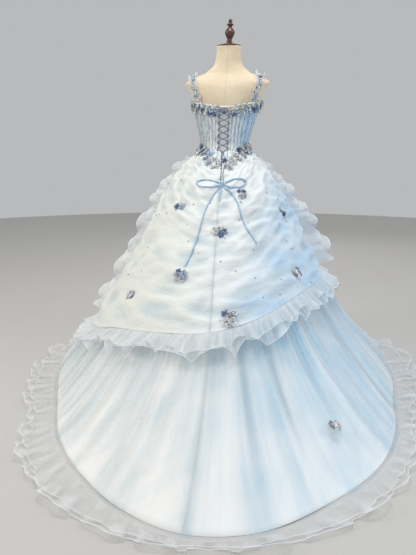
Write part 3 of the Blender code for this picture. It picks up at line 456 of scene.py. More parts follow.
def closed_turning(name: str, rings: Grid, finish: "Finish") -> Piece:
    """A closed solid through rings of points, from the top down, with flat ends."""
    rows, columns = rings.shape[:2]
    points = np.concatenate([rings.reshape(-1, 3), rings[0].mean(0)[None], rings[-1].mean(0)[None]])
    top, low = rows * columns, rows * columns + 1
    last = (rows - 1) * columns
    faces = list(grid_faces(rows, columns, ring=True))
    faces += [(top, c, (c + 1) % columns) for c in range(columns)]
    faces += [(low, last + (c + 1) % columns, last + c) for c in range(columns)]
    return new_piece(name, new_mesh(name, points, faces), finish)


def smooth_route(points: Sequence[Sequence[float]], parts: int) -> Grid:
    """Points on a smooth curve through a route, with a number of parts for each stretch."""
    route = np.asarray(points, float)
    padded = np.concatenate([route[:1], route, route[-1:]])
    t = np.linspace(0, 1, parts, endpoint=False)[None, :, None]
    before, start, end, after = (padded[k:len(route) - 1 + k][:, None] for k in range(4))
    fine = 0.5 * (2 * start + (end - before) * t + (2 * before - 5 * start + 4 * end - after) * t**2
                  + (3 * start - before - 3 * end + after) * t**3)
    return np.concatenate([fine.reshape(-1, route.shape[1]), route[-1:]])


def surface_of(pieces: Sequence[Piece]) -> BVHTree:
    """A tree of several pieces' faces, for finding where a line meets them."""
    points, faces = [], []
    for piece in pieces:
        first = len(points)
        points += [v.co.copy() for v in piece.data.vertices]
        faces += [[first + i for i in polygon.vertices] for polygon in piece.data.polygons]
    return BVHTree.FromPolygons(points, faces)


def meet(surface: BVHTree, start: Vector, direction: Vector) -> tuple[Vector, Vector]:
    """Where a line from a point first meets a surface, and the side of it that faces the start."""
    seat, normal, _, _ = surface.ray_cast(start, direction.normalized())
    if seat is None:
        seat, normal, _, _ = surface.find_nearest(start)
    return seat, normal if normal.dot(direction) < 0 else -normal


def from_behind(surface: BVHTree, x: float, z: float, start: float = -2.0) -> tuple[Vector, Vector]:
    """Where a surface is first met at x and z, by a line from behind the gown."""
    return meet(surface, Vector((x, start, z)), Vector((0, 1, 0)))


# ---- node trees
class Value:
    """A socket of a node tree, whose operators add Math nodes."""

    def __init__(self, net: "Net", socket: bpy.types.NodeSocket) -> None:
        """Wrap a socket of a tree."""
        self.net = net
        self.socket = socket

    def math(self, operation: str, *others: Any, first: bool = True) -> "Value":
        """Add a Math node that takes this value and others."""
        terms = [self, *others] if first else [*others, self]
        return self.net.node("ShaderNodeMath", dict(enumerate(terms)), {"operation": operation})

    def __add__(self, other: Any) -> "Value":
        """Sum."""
        return self.math("ADD", other)

    __radd__ = __add__

    def __sub__(self, other: Any) -> "Value":
        """Difference."""
        return self.math("SUBTRACT", other)

    def __rsub__(self, other: Any) -> "Value":
        """Difference, the other way round."""
        return self.math("SUBTRACT", other, first=False)

    def __mul__(self, other: Any) -> "Value":
        """Product."""
        return self.math("MULTIPLY", other)



    def __abs__(self) -> "Value":
        """Size without sign."""
        return self.math("ABSOLUTE")

    def step(self, low: float, high: float) -> "Value":
        """A soft change from 0 at low to 1 at high."""
        return self.net.node("ShaderNodeMapRange", {"Value": self, "From Min": low, "From Max": high},
                             {"interpolation_type": "SMOOTHSTEP", "clamp": True})


class Net:
    """A node tree under construction."""

    def __init__(self, tree: bpy.types.NodeTree) -> None:
        """Start on a tree."""
        self.tree = tree

    def node(self, kind: str, inputs: dict[Any, Any] | None = None,
             settings: dict[str, Any] | None = None, out: Any = 0) -> Value:
        """Add a node.

        Args:
            kind: the node's type.
            inputs: a value, or a wrapped socket, for each named or numbered input.
            settings: the node's own settings, and a ramp's stops; they are set first.
            out: the name or number of the output to hand back.

        Returns:
            The chosen output.
        """
        node = self.tree.nodes.new(kind)
        for name, value in (settings or {}).items():
            if name == "stops":
                ramp = node.color_ramp
                while len(ramp.elements) > 1:
                    ramp.elements.remove(ramp.elements[-1])
                for number, (position, colour) in enumerate(value):
                    stop = ramp.elements[0] if number == 0 else ramp.elements.new(position)
                    stop.position, stop.color = position, colour
            elif name == "interpolation":
                node.color_ramp.interpolation = value
            else:
                setattr(node, name, value)
        for key, value in (inputs or {}).items():
            socket = node.inputs[key]
            if isinstance(value, Value):
                self.tree.links.new(value.socket, socket)
            else:
                socket.default_value = value
        return Value(self, node.outputs[out] if len(node.outputs) else None)


class Shade(Net):
    """A material, and what is worked out in it."""

    def __init__(self, name: str) -> None:
        """Start an empty material."""
        self.material = bpy.data.materials.new(name)
        self.material.use_nodes = True
        super().__init__(self.material.node_tree)
        self.tree.nodes.clear()

    def place(self) -> Value:
        """Object coordinates."""
        return self.node("ShaderNodeTexCoord", out="Object")

    def cloth(self) -> Value:
        """The piece's own UV map, in metres along its width and down its length."""
        return self.node("ShaderNodeUVMap", settings={"uv_map": "cloth"})

    def mark(self, name: str) -> Value:
        """A number that the piece's points carry."""
        return self.node("ShaderNodeAttribute", settings={"attribute_name": name}, out="Fac")

    def axis(self, vector: Value, name: str) -> Value:
        """One part of a vector: X, Y or Z."""
        return self.node("ShaderNodeSeparateXYZ", {0: vector}, out=name)

    def stretch(self, vector: Value, scale: Sequence[float]) -> Value:
        """A vector with each part scaled."""
        return self.node("ShaderNodeVectorMath", {0: vector, 1: tuple(scale)}, {"operation": "MULTIPLY"})

    def noise(self, vector: Value, scale: float | tuple, detail: float = 3.0, rough: float = 0.55) -> Value:
        """Soft noise from 0 to 1; its scale may differ along each part of the vector."""
        if isinstance(scale, tuple):
            vector, scale = self.stretch(vector, scale), 1.0
        return self.node("ShaderNodeTexNoise",
                         {"Vector": vector, "Scale": scale, "Detail": detail, "Roughness": rough})

    def threads(self, vector: Value, pitch: float, direction: str = "X") -> Value:
        """Bands from 0 to 1, a pitch apart along one direction."""
        return self.node("ShaderNodeTexWave", {"Vector": vector, "Scale": 0.314159 / pitch},
                         {"wave_type": "BANDS", "bands_direction": direction}, "Fac")

    def mix(self, factor: Any, start: Any, end: Any) -> Value:
        """A colour between two colours."""
        return self.node("ShaderNodeMix", {0: factor, 6: start, 7: end}, {"data_type": "RGBA"}, 2)

    def bump(self, height: Value, distance: float, strength: float = 1.0) -> Value:
        """A normal that follows a height, in metres of distance."""
        return self.node("ShaderNodeBump",
                         {"Height": height, "Distance": distance, "Strength": strength}, out="Normal")

    def surface(self, sockets: dict[str, Any]) -> bpy.types.Material:
        """Close the material with a Principled shader that takes these sockets."""
        shader = self.node("ShaderNodeBsdfPrincipled", sockets)
        self.node("ShaderNodeOutputMaterial", {"Surface": shader})
        return self.material


# ---- finishes
@dataclass(frozen=True)
class JerseyFinish:
    """Cream jersey, stretched over the padded form."""

    light: Colour = (0.86, 0.745, 0.56, 1)
    deep: Colour = (0.79, 0.655, 0.465, 1)
    seam: Colour = (0.55, 0.42, 0.27, 1)
    rib_pitch: float = 0.0016

    def build(self) -> bpy.types.Material:
        """Mottled cream with fine ribs, and the seam down the centre of the back."""
        shade = Shade("jersey")
        where = shade.place()
        x, z = shade.axis(where, "X"), shade.axis(where, "Z")
        middle = (z - FORM.waist_z) * FORM.lean
        seam = 1 - abs(x - middle).step(0.0003, 0.0016)
        tone = shade.noise(where, 9.0) * 0.6 + shade.noise(where, 60.0) * 0.4
        colour = shade.mix(tone.step(0.35, 0.68), self.deep, self.light)
        colour = shade.mix(seam * 0.30, colour, self.seam)
        ribs = shade.threads(where, self.rib_pitch)
        return shade.surface({
            "Base Color": colour, "Roughness": 0.72 + tone * 0.15, "Sheen Weight": 0.25,
            "Normal": shade.bump(ribs * 0.25 + tone * 0.5 - seam, 0.0006, 0.5)})


@dataclass(frozen=True)
class WalnutFinish:
    """Dark stained and polished wood."""

    light: Colour = (0.155, 0.048, 0.018, 1)
    dark: Colour = (0.030, 0.010, 0.006, 1)

    def build(self) -> bpy.types.Material:
        """Grain that runs up the turning, under a clear coat."""
        shade = Shade("walnut")
        where = shade.place()
        grain = shade.noise(where, (90, 90, 9), 5.0, 0.62)
        rings = shade.noise(where, (300, 300, 22), 2.0)
        tone = (grain * 0.75 + rings * 0.25).step(0.36, 0.66)
        return shade.surface({
            "Base Color": shade.mix(tone, self.dark, self.light), "Roughness": 0.42 - tone * 0.12,
            "Coat Weight": 0.6, "Coat Roughness": 0.16, "Normal": shade.bump(grain, 0.0004, 0.35)})


@dataclass(frozen=True)
class PaintedSteelFinish:
    """Dark satin paint on the stand."""

    colour: Colour = (0.045, 0.045, 0.05, 1)
    wear_and_shadow: Colour = (0.11, 0.11, 0.115, 1)

    def build(self) -> bpy.types.Material:
        """Fine orange peel, and paler scuffs."""
        shade = Shade("painted_steel")
        where = shade.place()
        scuffs = shade.noise(where, 26.0, 6.0, 0.7).step(0.60, 0.74)
        return shade.surface({
            "Base Color": shade.mix(scuffs, self.colour, self.wear_and_shadow), "Roughness": 0.34 + scuffs * 0.25,
            "Metallic": 0.35, "Normal": shade.bump(shade.noise(where, 420.0), 0.0002, 0.4)})


@dataclass(frozen=True)
class SatinFinish:
    """White satin: the lining, the modesty panel and the binding."""

    name: str
    warm: Colour = (0.93, 0.92, 0.89, 1)
    cool: Colour = (0.85, 0.92, 0.96, 1)
    roughness: float = 0.38

    def build(self) -> bpy.types.Material:
        """Warm on the wearer's left and cool on the right, with a fine warp and long soft creases whose
        hollows are darkened by painted shade.
        """
        shade = Shade(self.name)
        where, cloth = shade.place(), shade.cloth()
        side = (shade.axis(where, "X") + shade.noise(where, 2.2) * 0.7).step(0.15, 0.95)
        creases = shade.noise(cloth, (14, 2.2, 1))
        warp = shade.threads(cloth, 0.0009)
        colour = shade.mix(side, self.warm, self.cool)
        # painted shade: the hollows of the long creases are darkened towards a dull blue
        colour = shade.mix(creases.step(0.62, 0.30) * 0.22, colour, (0.66, 0.74, 0.82, 1))
        return shade.surface({
            "Base Color": colour, "Roughness": self.roughness + creases * 0.12, "Sheen Weight": 0.2,
            "Normal": shade.bump(creases * 0.9 + warp * 0.04, 0.004, 0.45)})


@dataclass(frozen=True)
class NetFinish:
    """Sheer net: denser where it is folded and along its edges."""

    name: str
    left: Colour
    right: Colour
    veil: float
    dense: float
    sway: float = 0.0
    net_pitch: float = 0.0022

    def build(self) -> bpy.types.Material:
        """Net that lets the cloth under it through, is milky where its folds pile up, and is darkened by
        painted shade where the valley mark is set.
        """
        shade = Shade(self.name)
        where, cloth = shade.place(), shade.cloth()
        side = (shade.axis(where, "X") + shade.noise(where, 2.6) * 0.8).step(0.10, 0.95)
        patches = shade.noise(where, 5.5, 2.0)
        tint = shade.mix(side, self.left, self.right)
        tint = shade.mix(patches.step(0.38, 0.66) * 0.50, tint, (0.92, 0.94, 0.96, 1))
        ply = shade.mark("ply")
        round_ = shade.node("ShaderNodeCombineXYZ", {"X": shade.mark("round"), "Y": shade.axis(cloth, "Y")})
        streaks = shade.noise(round_, (0.9, 0.9, 1), 4.0, 0.62)
        bands = shade.noise(round_, (0.20, 0.9, 1), 2.0)
        across, down = shade.axis(cloth, "X"), shade.axis(cloth, "Y")
        hole = (abs(self.wave(across - down)) * abs(self.wave(across + down))).step(0.15, 0.8)
        cover = ply * (self.dense - self.veil) + self.veil
        cover = cover + (streaks - 0.5) * (ply * 0.70 + 0.18) * self.dense
        cover = cover + (bands - 0.5) * self.sway - hole * 0.08
        tint = shade.mix(bands.step(0.60, 0.36) * 0.6, tint, (0.92, 0.94, 0.95, 1))
        # painted shade: the valley mark darkens the tint between the long folds and beneath the flounce,
        # and thickens the net there
        valley = shade.mark("valley") * (0.45 + streaks)
        tint = shade.mix(valley.math("MINIMUM", 1.0) * 0.75, tint, (0.33, 0.45, 0.54, 1))
        alpha = (cover + valley * 0.45).math("MAXIMUM", 0.04).math("MINIMUM", 1.0)
        return shade.surface({
            "Base Color": tint, "Roughness": 0.62, "Sheen Weight": 0.5, "Sheen Roughness": 0.4,
            "Specular IOR Level": 0.25, "Alpha": alpha, "Normal": shade.bump(streaks, 0.0012, 0.5)})

    def wave(self, value: Value) -> Value:
        """A wave of the net's own pitch."""
        return (value * (math.pi / self.net_pitch)).math("SINE")


@dataclass(frozen=True)
class RuchedFinish:
    """Layers of gathered tulle over the skirt, nearly opaque."""

    ivory: Colour = (0.80, 0.82, 0.76, 1)
    white: Colour = (0.84, 0.875, 0.88, 1)
    sky: Colour = (0.47, 0.69, 0.92, 1)
    shadow: Colour = (0.50, 0.62, 0.67, 1)

    def build(self) -> bpy.types.Material:
        """Ivory to white to sky blue across the back, with bluer painted shade in the hollows of the
        gathers.
        """
        shade = Shade("ruched_tulle")
        where, cloth = shade.place(), shade.cloth()
        x, z = shade.axis(where, "X"), shade.axis(where, "Z")
        drift = shade.noise(where, 3.2, 2.0)
        colour = shade.mix((x + drift * 0.24).step(-0.22, 0.20), self.ivory, self.white)
        blue = (x * 1.25 + (0.62 - z) * 0.25 + drift * 0.42).step(0.30, 0.60)
        clouds = shade.noise(where, (6, 6, 9)).step(0.30, 0.66)
        colour = shade.mix(blue * (1 - clouds * 0.55), colour, self.sky)
        hollow = shade.mark("hollow")
        gathers = shade.noise(cloth, (14, 30, 1), 4.0)
        crinkle = shade.noise(cloth, (240, 240, 1), 2.0)
        # painted shade: the hollow mark and the low parts of the gathers are darkened towards the shadow
        # colour
        deep = (hollow * 0.75 + (0.5 - gathers) * 0.6).step(0.02, 0.70)
        colour = shade.mix(deep * 0.62, colour, self.shadow)
        return shade.surface({
            "Base Color": colour, "Roughness": 0.66, "Sheen Weight": 0.4, "Specular IOR Level": 0.3,
            "Normal": shade.bump(gathers * 0.9 + crinkle * 0.08, 0.011, 0.6)})


@dataclass(frozen=True)
class BonedFinish:
    """The bodice's satin, silvery at the back, darkened by painted shade towards the wearer's left and
    bluer towards the wearer's right.
    """

    silver: Colour = (0.84, 0.87, 0.88, 1)
    left_shade_grey: Colour = (0.50, 0.55, 0.54, 1)
    sky: Colour = (0.46, 0.66, 0.88, 1)
    piping: Colour = (0.20, 0.30, 0.43, 1)

    def build(self) -> bpy.types.Material:
        """Satin with darker piping along the channels, and painted mottled shadow and painted mottled
        reflection between them.
        """
        shade = Shade("boned_satin")
        where, cloth = shade.place(), shade.cloth()
        x = shade.axis(where, "X")
        drift = shade.noise(where, 14.0, 3.0)
        side = x + (drift - 0.5) * 0.10
        # painted shade: the wearer's left is darkened
        colour = shade.mix(side.step(-0.02, -0.13), self.silver, self.left_shade_grey)
        colour = shade.mix(side.step(0.03, 0.115), colour, self.sky)
        mottle = shade.noise(cloth, (130, 40, 1), 4.0)
        # painted shadow: dark mottled patches between the channels
        wear_and_shadow = shade.noise(cloth, (70, 26, 1), 3.0, 0.6)
        colour = shade.mix(wear_and_shadow.step(0.52, 0.36) * 0.72, colour, (0.30, 0.40, 0.48, 1))
        # painted reflection: pale mottled patches of light on the satin
        colour = shade.mix(mottle.step(0.52, 0.70) * 0.60, colour, (0.92, 0.94, 0.95, 1))
        piping = shade.mark("piping") * (mottle.step(0.66, 0.40) * 0.62 + 0.12)
        colour = shade.mix(piping, colour, self.piping)
        weave = shade.threads(cloth, 0.0008, "Y")
        return shade.surface({
            "Base Color": colour, "Roughness": 0.36 + mottle * 0.2, "Sheen Weight": 0.2,
            "Normal": shade.bump(mottle * 0.8 + weave * 0.05, 0.0016, 0.5)})


@dataclass(frozen=True)
class PetalFinish:
    """Organza petals in several tints, and the beads at their hearts."""

    tints: tuple[tuple[float, Colour], ...] = (
        (0.0, (0.95, 0.95, 0.94, 1)), (0.50, (0.66, 0.78, 0.92, 1)), (0.63, (0.10, 0.19, 0.42, 1)),
        (0.74, (0.64, 0.67, 0.69, 1)), (0.90, (0.88, 0.86, 0.74, 1)), (0.96, (0.05, 0.09, 0.20, 1)))
    bead: Colour = (0.06, 0.10, 0.17, 1)

    def build(self) -> bpy.types.Material:
        """A tint for each flower, with painted shade at its heart and along its petal tips, and glossy
        beads.
        """
        shade = Shade("organza_petals")
        bead, heart = shade.mark("bead"), shade.mark("heart")
        petal = shade.node("ShaderNodeValToRGB", {"Fac": shade.mark("tint")},
                           {"interpolation": "CONSTANT", "stops": self.tints})
        veins = shade.noise(shade.place(), 420.0, 2.0)
        # painted shade: each flower is darkened at its heart and along its petal tips
        rim = (1 - heart).step(0.90, 1.0)
        petal = shade.mix((heart * heart * 0.50).math("MAXIMUM", rim * 0.50), petal, (0.20, 0.27, 0.38, 1))
        petal = shade.mix(veins.step(0.5, 0.8) * 0.25, petal, (0.95, 0.96, 0.97, 1))
        return shade.surface({
            "Base Color": shade.mix(bead, petal, self.bead), "Roughness": 0.55 - bead * 0.40,
            "Metallic": bead * 0.3, "Sheen Weight": 0.2, "Normal": shade.bump(veins, 0.0004, 0.5)})


@dataclass(frozen=True)
class PlainThreadFinish:
    """Satin cord, lace, piping or bead strings: one colour with fine turns along it."""

    name: str
    colour: Colour
    deep: Colour
    turn: float = 0.0032
    roughness: float = 0.38
    metallic: float = 0.0

    def build(self) -> bpy.types.Material:
        """Fine bands along the cord, with painted shade a little deeper between them, mixed with random
        tone.
        """
        shade = Shade(self.name)
        where = shade.place()
        bands = (shade.mark("along") * (2 * math.pi / self.turn)).math("SINE") * 0.5 + 0.5
        tone = shade.noise(where, 34.0, 3.0)
        # painted shade in the grooves between the turns, mixed with random tone
        colour = shade.mix((tone * 0.7 + (1 - bands) * 0.3).step(0.25, 0.75), self.colour, self.deep)
        return shade.surface({
            "Base Color": colour, "Roughness": self.roughness + tone * 0.12, "Metallic": self.metallic,
            "Sheen Weight": 0.2, "Normal": shade.bump(bands, 0.0004, 0.4)})


@dataclass(frozen=True)
class FloorFinish:
    """Plain pale floor."""

    colour: Colour = (0.60, 0.585, 0.565, 1)

    def build(self) -> bpy.types.Material:
        """Matt, with a faint unevenness."""
        shade = Shade("pale_floor")
        tone = shade.noise(shade.place(), 3.0)
        colour = shade.mix(tone, self.colour, tuple(0.96 * part for part in self.colour[:3]) + (1,))
        return shade.surface({"Base Color": colour, "Roughness": 0.8})


class Finish(Enum):
    """The finishes of the gown, its form and the floor."""

    JERSEY = JerseyFinish()
    WALNUT = WalnutFinish()
    STEEL = PaintedSteelFinish()
    SATIN = SatinFinish("white_satin")
    RIBBON = SatinFinish("binding_satin", warm=(0.95, 0.95, 0.94, 1), roughness=0.30)
    TULLE = NetFinish("blue_tulle", (0.58, 0.69, 0.73, 1), (0.42, 0.69, 0.90, 1), 0.06, 0.84, 1.25)
    ORGANZA = NetFinish("edge_organza", (0.94, 0.94, 0.93, 1), (0.84, 0.90, 0.97, 1), 0.05, 0.55)
    FLOUNCE = NetFinish("flounce_organza", (0.88, 0.92, 0.92, 1), (0.70, 0.84, 0.96, 1), 0.17, 0.80)
    RUCHED = RuchedFinish()
    BONED = BonedFinish()
    PETALS = PetalFinish()
    LACE = PlainThreadFinish("slate_lace", (0.085, 0.16, 0.26, 1), (0.04, 0.08, 0.15, 1))
    CORD = PlainThreadFinish("blue_cord", (0.44, 0.63, 0.80, 1), (0.33, 0.51, 0.69, 1), turn=0.0014)
    HEMMING = PlainThreadFinish("rolled_hem", (0.92, 0.93, 0.94, 1), (0.80, 0.86, 0.92, 1), roughness=0.5)
    BEADS = PlainThreadFinish("slate_beads", (0.13, 0.19, 0.29, 1), (0.07, 0.11, 0.18, 1),
                              roughness=0.22, metallic=0.35)
    METAL = PlainThreadFinish("eyelet_metal", (0.55, 0.57, 0.60, 1), (0.40, 0.42, 0.45, 1),
                              roughness=0.28, metallic=0.9)
    THREAD = PlainThreadFinish("seam_thread", (0.80, 0.69, 0.50, 1), (0.70, 0.58, 0.40, 1), roughness=0.7)
    FLOOR = FloorFinish()


@cache
def dress_in(finish: Finish) -> bpy.types.Material:
    """A finish's material, made the first time that it is asked for."""
    return finish.value.build()


# ---- Geometry Nodes
class Growth(Net):
    """A Geometry Nodes tree with named inputs, whose result becomes a plain mesh."""

    def __init__(self, name: str, sizes: dict[str, float]) -> None:
        """Start a tree.

        Args:
            name: the tree's name.
            sizes: its inputs that are numbers, with what they are to begin with.
        """
        tree = bpy.data.node_groups.new(name, "GeometryNodeTree")
        super().__init__(tree)
        tree.interface.new_socket("Geometry", in_out="INPUT", socket_type="NodeSocketGeometry")
        for size, value in sizes.items():
            socket = tree.interface.new_socket(size, in_out="INPUT", socket_type="NodeSocketFloat")
            socket.default_value = value
        tree.interface.new_socket("Shape", in_out="INPUT", socket_type="NodeSocketObject")
        tree.interface.new_socket("Finish", in_out="INPUT", socket_type="NodeSocketMaterial")
        tree.interface.new_socket("Geometry", in_out="OUTPUT", socket_type="NodeSocketGeometry")
        self.entry = tree.nodes.new("NodeGroupInput")

    def given(self, name: str) -> Value:
        """One of the tree's inputs."""
        return Value(self, self.entry.outputs[name])

    def close(self, geometry: Value) -> None:
        """End the tree: instances made real, smooth, and in their finish."""
        real = self.node("GeometryNodeRealizeInstances", {0: geometry})
        smooth = self.node("GeometryNodeSetShadeSmooth", {"Geometry": real})
        finish = self.given("Finish")
        dressed = self.node("GeometryNodeSetMaterial", {"Geometry": smooth, "Material": finish})
        self.node("NodeGroupOutput", {0: dressed})

    def grow(self, name: str, host: bpy.types.Mesh, finish: Finish, sizes: dict[str, float],
             shape: Piece | None = None) -> Piece:
        """Run the tree on a mesh of points or lines, and keep what it makes as a plain mesh.

        Args:
            name: the new piece's name.
            host: the points or lines.
            finish: the piece's finish.
            sizes: the tree's number inputs.
            shape: what is repeated, where the tree repeats an object.

        Returns:
            The piece, with no modifier on it.
        """
        piece = show(bpy.data.objects.new(name, host))
        modifier = piece.modifiers.new("growth", "NODES")
        modifier.node_group = self.tree
        values = {**sizes, "Finish": dress_in(finish), "Shape": shape}
        for socket in self.tree.interface.items_tree:
            if socket.in_out == "INPUT" and values.get(socket.name) is not None:
                modifier[socket.identifier] = values[socket.name]
        graph = bpy.context.evaluated_depsgraph_get()
        mesh = bpy.data.meshes.new_from_object(piece.evaluated_get(graph), depsgraph=graph)
        piece.modifiers.clear()
        piece.data = mesh
        return piece


class Sweeps(Growth):
    """Tubes along lines: hems, piping, lace and cord."""

    def __init__(self) -> None:
        """Build the tree."""
        super().__init__("sweep", {"Radius": 0.001, "Sides": 6.0})
        line = self.node("GeometryNodeMeshToCurve", {0: self.given("Geometry")})
        length = self.node("GeometryNodeSplineParameter", out="Length")
        line = self.node("GeometryNodeStoreNamedAttribute",
                         {"Geometry": line, "Name": "along", "Value": length},
                         {"data_type": "FLOAT", "domain": "POINT"})
        profile = self.node("GeometryNodeCurvePrimitiveCircle",
                            {"Resolution": self.given("Sides"), "Radius": self.given("Radius")})
        self.close(self.node("GeometryNodeCurveToMesh",
                             {"Curve": line, "Profile Curve": profile, "Fill Caps": True}))

    def tube(self, name: str, routes: Sequence[Grid], radius: float, finish: Finish,
             sides: int = 6) -> Piece:
        """Round tubes with closed ends, one along each route."""
        sizes = {"Radius": radius, "Sides": float(sides)}
        return self.grow(name, line_mesh(name, routes), finish, sizes)


class Strings(Growth):
    """A shape repeated at an even pitch along lines: beads and stitches."""

    def __init__(self) -> None:
        """Build the tree."""
        super().__init__("string", {"Pitch": 0.005, "Size": 1.0})
        line = self.node("GeometryNodeMeshToCurve", {0: self.given("Geometry")})
        spaced = self.node("GeometryNodeResampleCurve", {"Curve": line, "Length": self.given("Pitch")},
                           {"mode": "LENGTH"})
        shape = self.node("GeometryNodeObjectInfo", {"Object": self.given("Shape")}, out="Geometry")
        tangent = self.node("GeometryNodeInputTangent")
        turn = self.node("FunctionNodeAlignRotationToVector", {"Vector": tangent}, {"axis": "X"})
        self.close(self.node("GeometryNodeInstanceOnPoints",
                             {"Points": spaced, "Instance": shape, "Rotation": turn,
                              "Scale": self.given("Size")}))

    def along(self, name: str, routes: Sequence[Grid], pitch: float, shape: Piece,
              finish: Finish, size: float) -> Piece:
        """A shape repeated along each route."""
        return self.grow(name, line_mesh(name, routes), finish, {"Pitch": pitch, "Size": size}, shape)


class Beds(Growth):
    """A shape set on points, each with its own size, turn and tint: flowers, beads and eyelets."""

    def __init__(self) -> None:
        """Build the tree."""
        super().__init__("bed", {})
        shape = self.node("GeometryNodeObjectInfo", {"Object": self.given("Shape")}, out="Geometry")
        turn = self.node("GeometryNodeInputNamedAttribute", {"Name": "turn"},
                         {"data_type": "FLOAT_VECTOR"})
        size = self.node("GeometryNodeInputNamedAttribute", {"Name": "size"}, {"data_type": "FLOAT"})
        self.close(self.node("GeometryNodeInstanceOnPoints",
                             {"Points": self.given("Geometry"), "Instance": shape, "Rotation": turn,
                              "Scale": size}))

    def sow(self, name: str, seats: Sequence["Seat"], shape: Piece,
            finish: Finish) -> Piece:
        """Set a shape, whose own Z is up and whose underside is at its origin, on each seat."""
        mesh = bpy.data.meshes.new(name)
        mesh.from_pydata([tuple(seat.point) for seat in seats], [], [])
        turns = [Vector(seat.aim).to_track_quat("Z", "Y") @ Quaternion((0, 0, 1), seat.spin)
                 for seat in seats]
        mark_points(mesh, "turn", np.array([tuple(turn.to_euler()) for turn in turns]))
        mark_points(mesh, "size", np.array([seat.size for seat in seats]))
        mark_points(mesh, "tint", np.array([seat.tint for seat in seats]))
        return self.grow(name, mesh, finish, {}, shape)


class Seat(NamedTuple):
    """Where a small shape sits, which way it faces, and its size, turn and tint."""

    point: Sequence[float]
    aim: Sequence[float]
    size: float
    spin: float = 0.0
    tint: float = 0.0


# ---- small shapes that repeat
@dataclass
class Haberdashery:
    """Beads, eyelets, stitches and flowers: each made once, with a radius of about 1."""

    bead_sides: int = 7
    eyelet_parts: tuple[int, int] = (16, 6)
    eyelet_reach: float = 0.8
    eyelet_wire: float = 0.24

    def keep(self, name: str, points: Grid, faces: Sequence[Sequence[int]],
             marks: dict[str, Grid]) -> Piece:
        """Make a shape that other pieces repeat; it isn't shown itself."""
        return bpy.data.objects.new(name, new_mesh(name, points, faces, None, marks))

    def ball(self, centre: Sequence[float], radius: float, levels: int = 4) -> tuple[Grid, list]:
        """Points and faces of a small round bead."""
        tilt = np.linspace(0, math.pi, levels + 1)[1:-1, None]
        turn = np.linspace(0, 2 * math.pi, self.bead_sides, endpoint=False)[None, :]
        ring = np.stack(np.broadcast_arrays(np.sin(tilt) * np.cos(turn), np.sin(tilt) * np.sin(turn),
                                            np.cos(tilt)), axis=-1)
        points = np.concatenate([ring.reshape(-1, 3), [[0, 0, 1]], [[0, 0, -1]]]) * radius + centre
        n, rows = self.bead_sides, levels - 1
        faces = [list(face) for face in grid_faces(rows, n, ring=True)]
        faces += [[rows * n, c, (c + 1) % n] for c in range(n)]
        faces += [[rows * n + 1, (rows - 1) * n + (c + 1) % n, (rows - 1) * n + c] for c in range(n)]
        return points, faces

    def bead(self) -> Piece:
        """A round bead with a radius of 1, its middle at the origin."""
        return self.keep("bead", *self.ball((0, 0, 0), 1.0), {})

    def eyelet(self) -> Piece:
        """A ring with a radius of 1, lying flat on its underside."""
        round_, about = self.eyelet_parts
        turn = np.linspace(0, 2 * math.pi, round_, endpoint=False)[:, None]
        tilt = np.linspace(0, 2 * math.pi, about, endpoint=False)[None, :]
        reach = self.eyelet_reach + self.eyelet_wire * np.cos(tilt)
        z = self.eyelet_wire + self.eyelet_wire * np.sin(tilt)
        points = np.stack(np.broadcast_arrays(reach * np.cos(turn), reach * np.sin(turn), z), axis=-1)
        return self.keep("eyelet", points, loop_faces(round_, about), {})

    def stitch(self) -> Piece:
        """A short thread, 1 long on X."""
        points, faces = self.ball((0, 0, 0), 1.0)
        return self.keep("stitch", points * (0.5, 0.17, 0.17), faces, {})

    def flower(self, name: str, rings: Sequence[tuple[int, float, float, float]],
               beads: Sequence[tuple[float, int, float]]) -> Piece:
        """An organza flower with a radius of 1, its underside at the origin.

        Args:
            name: the shape's name.
            rings: for each ring of petals their number, length, height at the tip and turn.
            beads: for each ring of beads its radius, their number and their size.

        Returns:
            The shape.
        """
        points, faces, heart, bead = [], [], [], []
        along = np.linspace(0, 1, 5)[:, None]
        across = np.linspace(-1, 1, 5)[None, :]
        for level, (count, length, lift, turn) in enumerate(rings):
            for petal in range(count):
                bulge = np.sin(math.pi * np.minimum(along * 0.86 + 0.07, 1))**0.7
                width = 2.3 * length / count**0.85 * bulge
                reach = length * along * (1 - 0.13 * across**2 * along) + 0.03
                side = width * across * 0.62
                rise = 0.05 + 0.07 * level + lift * along**1.6 - 0.16 * length * np.sin(along * 3.0) * along
                rise = rise + 0.16 * across**2 * width + 0.05 * np.sin(7 * across + petal) * along
                angle = turn + 2 * math.pi * (petal + 0.12 * math.sin(5 * petal + level)) / count
                x = reach * math.cos(angle) - side * math.sin(angle)
                y = reach * math.sin(angle) + side * math.cos(angle)
                first = sum(len(p) for p in points)
                points.append(np.stack(np.broadcast_arrays(x, y, rise), -1).reshape(-1, 3))
                faces += [list(face) for face in grid_faces(5, 5, first=first)[:, ::-1]]
                heart.append(np.broadcast_to(1 - along, (5, 5)).ravel())
                bead.append(np.zeros(25))
        for radius, count, size in beads:
            for number in range(count):
                angle = 2 * math.pi * number / count
                centre = (radius * math.cos(angle), radius * math.sin(angle), 0.16 + size)
                ball, skin = self.ball(centre, size, 3)
                first = sum(len(p) for p in points)
                points.append(ball)
                faces += [[first + corner for corner in face] for face in skin]
                heart.append(np.zeros(len(ball)))
                bead.append(np.ones(len(ball)))
        return self.keep(name, np.concatenate(points), faces,
                         {"heart": np.concatenate(heart), "bead": np.concatenate(bead)})


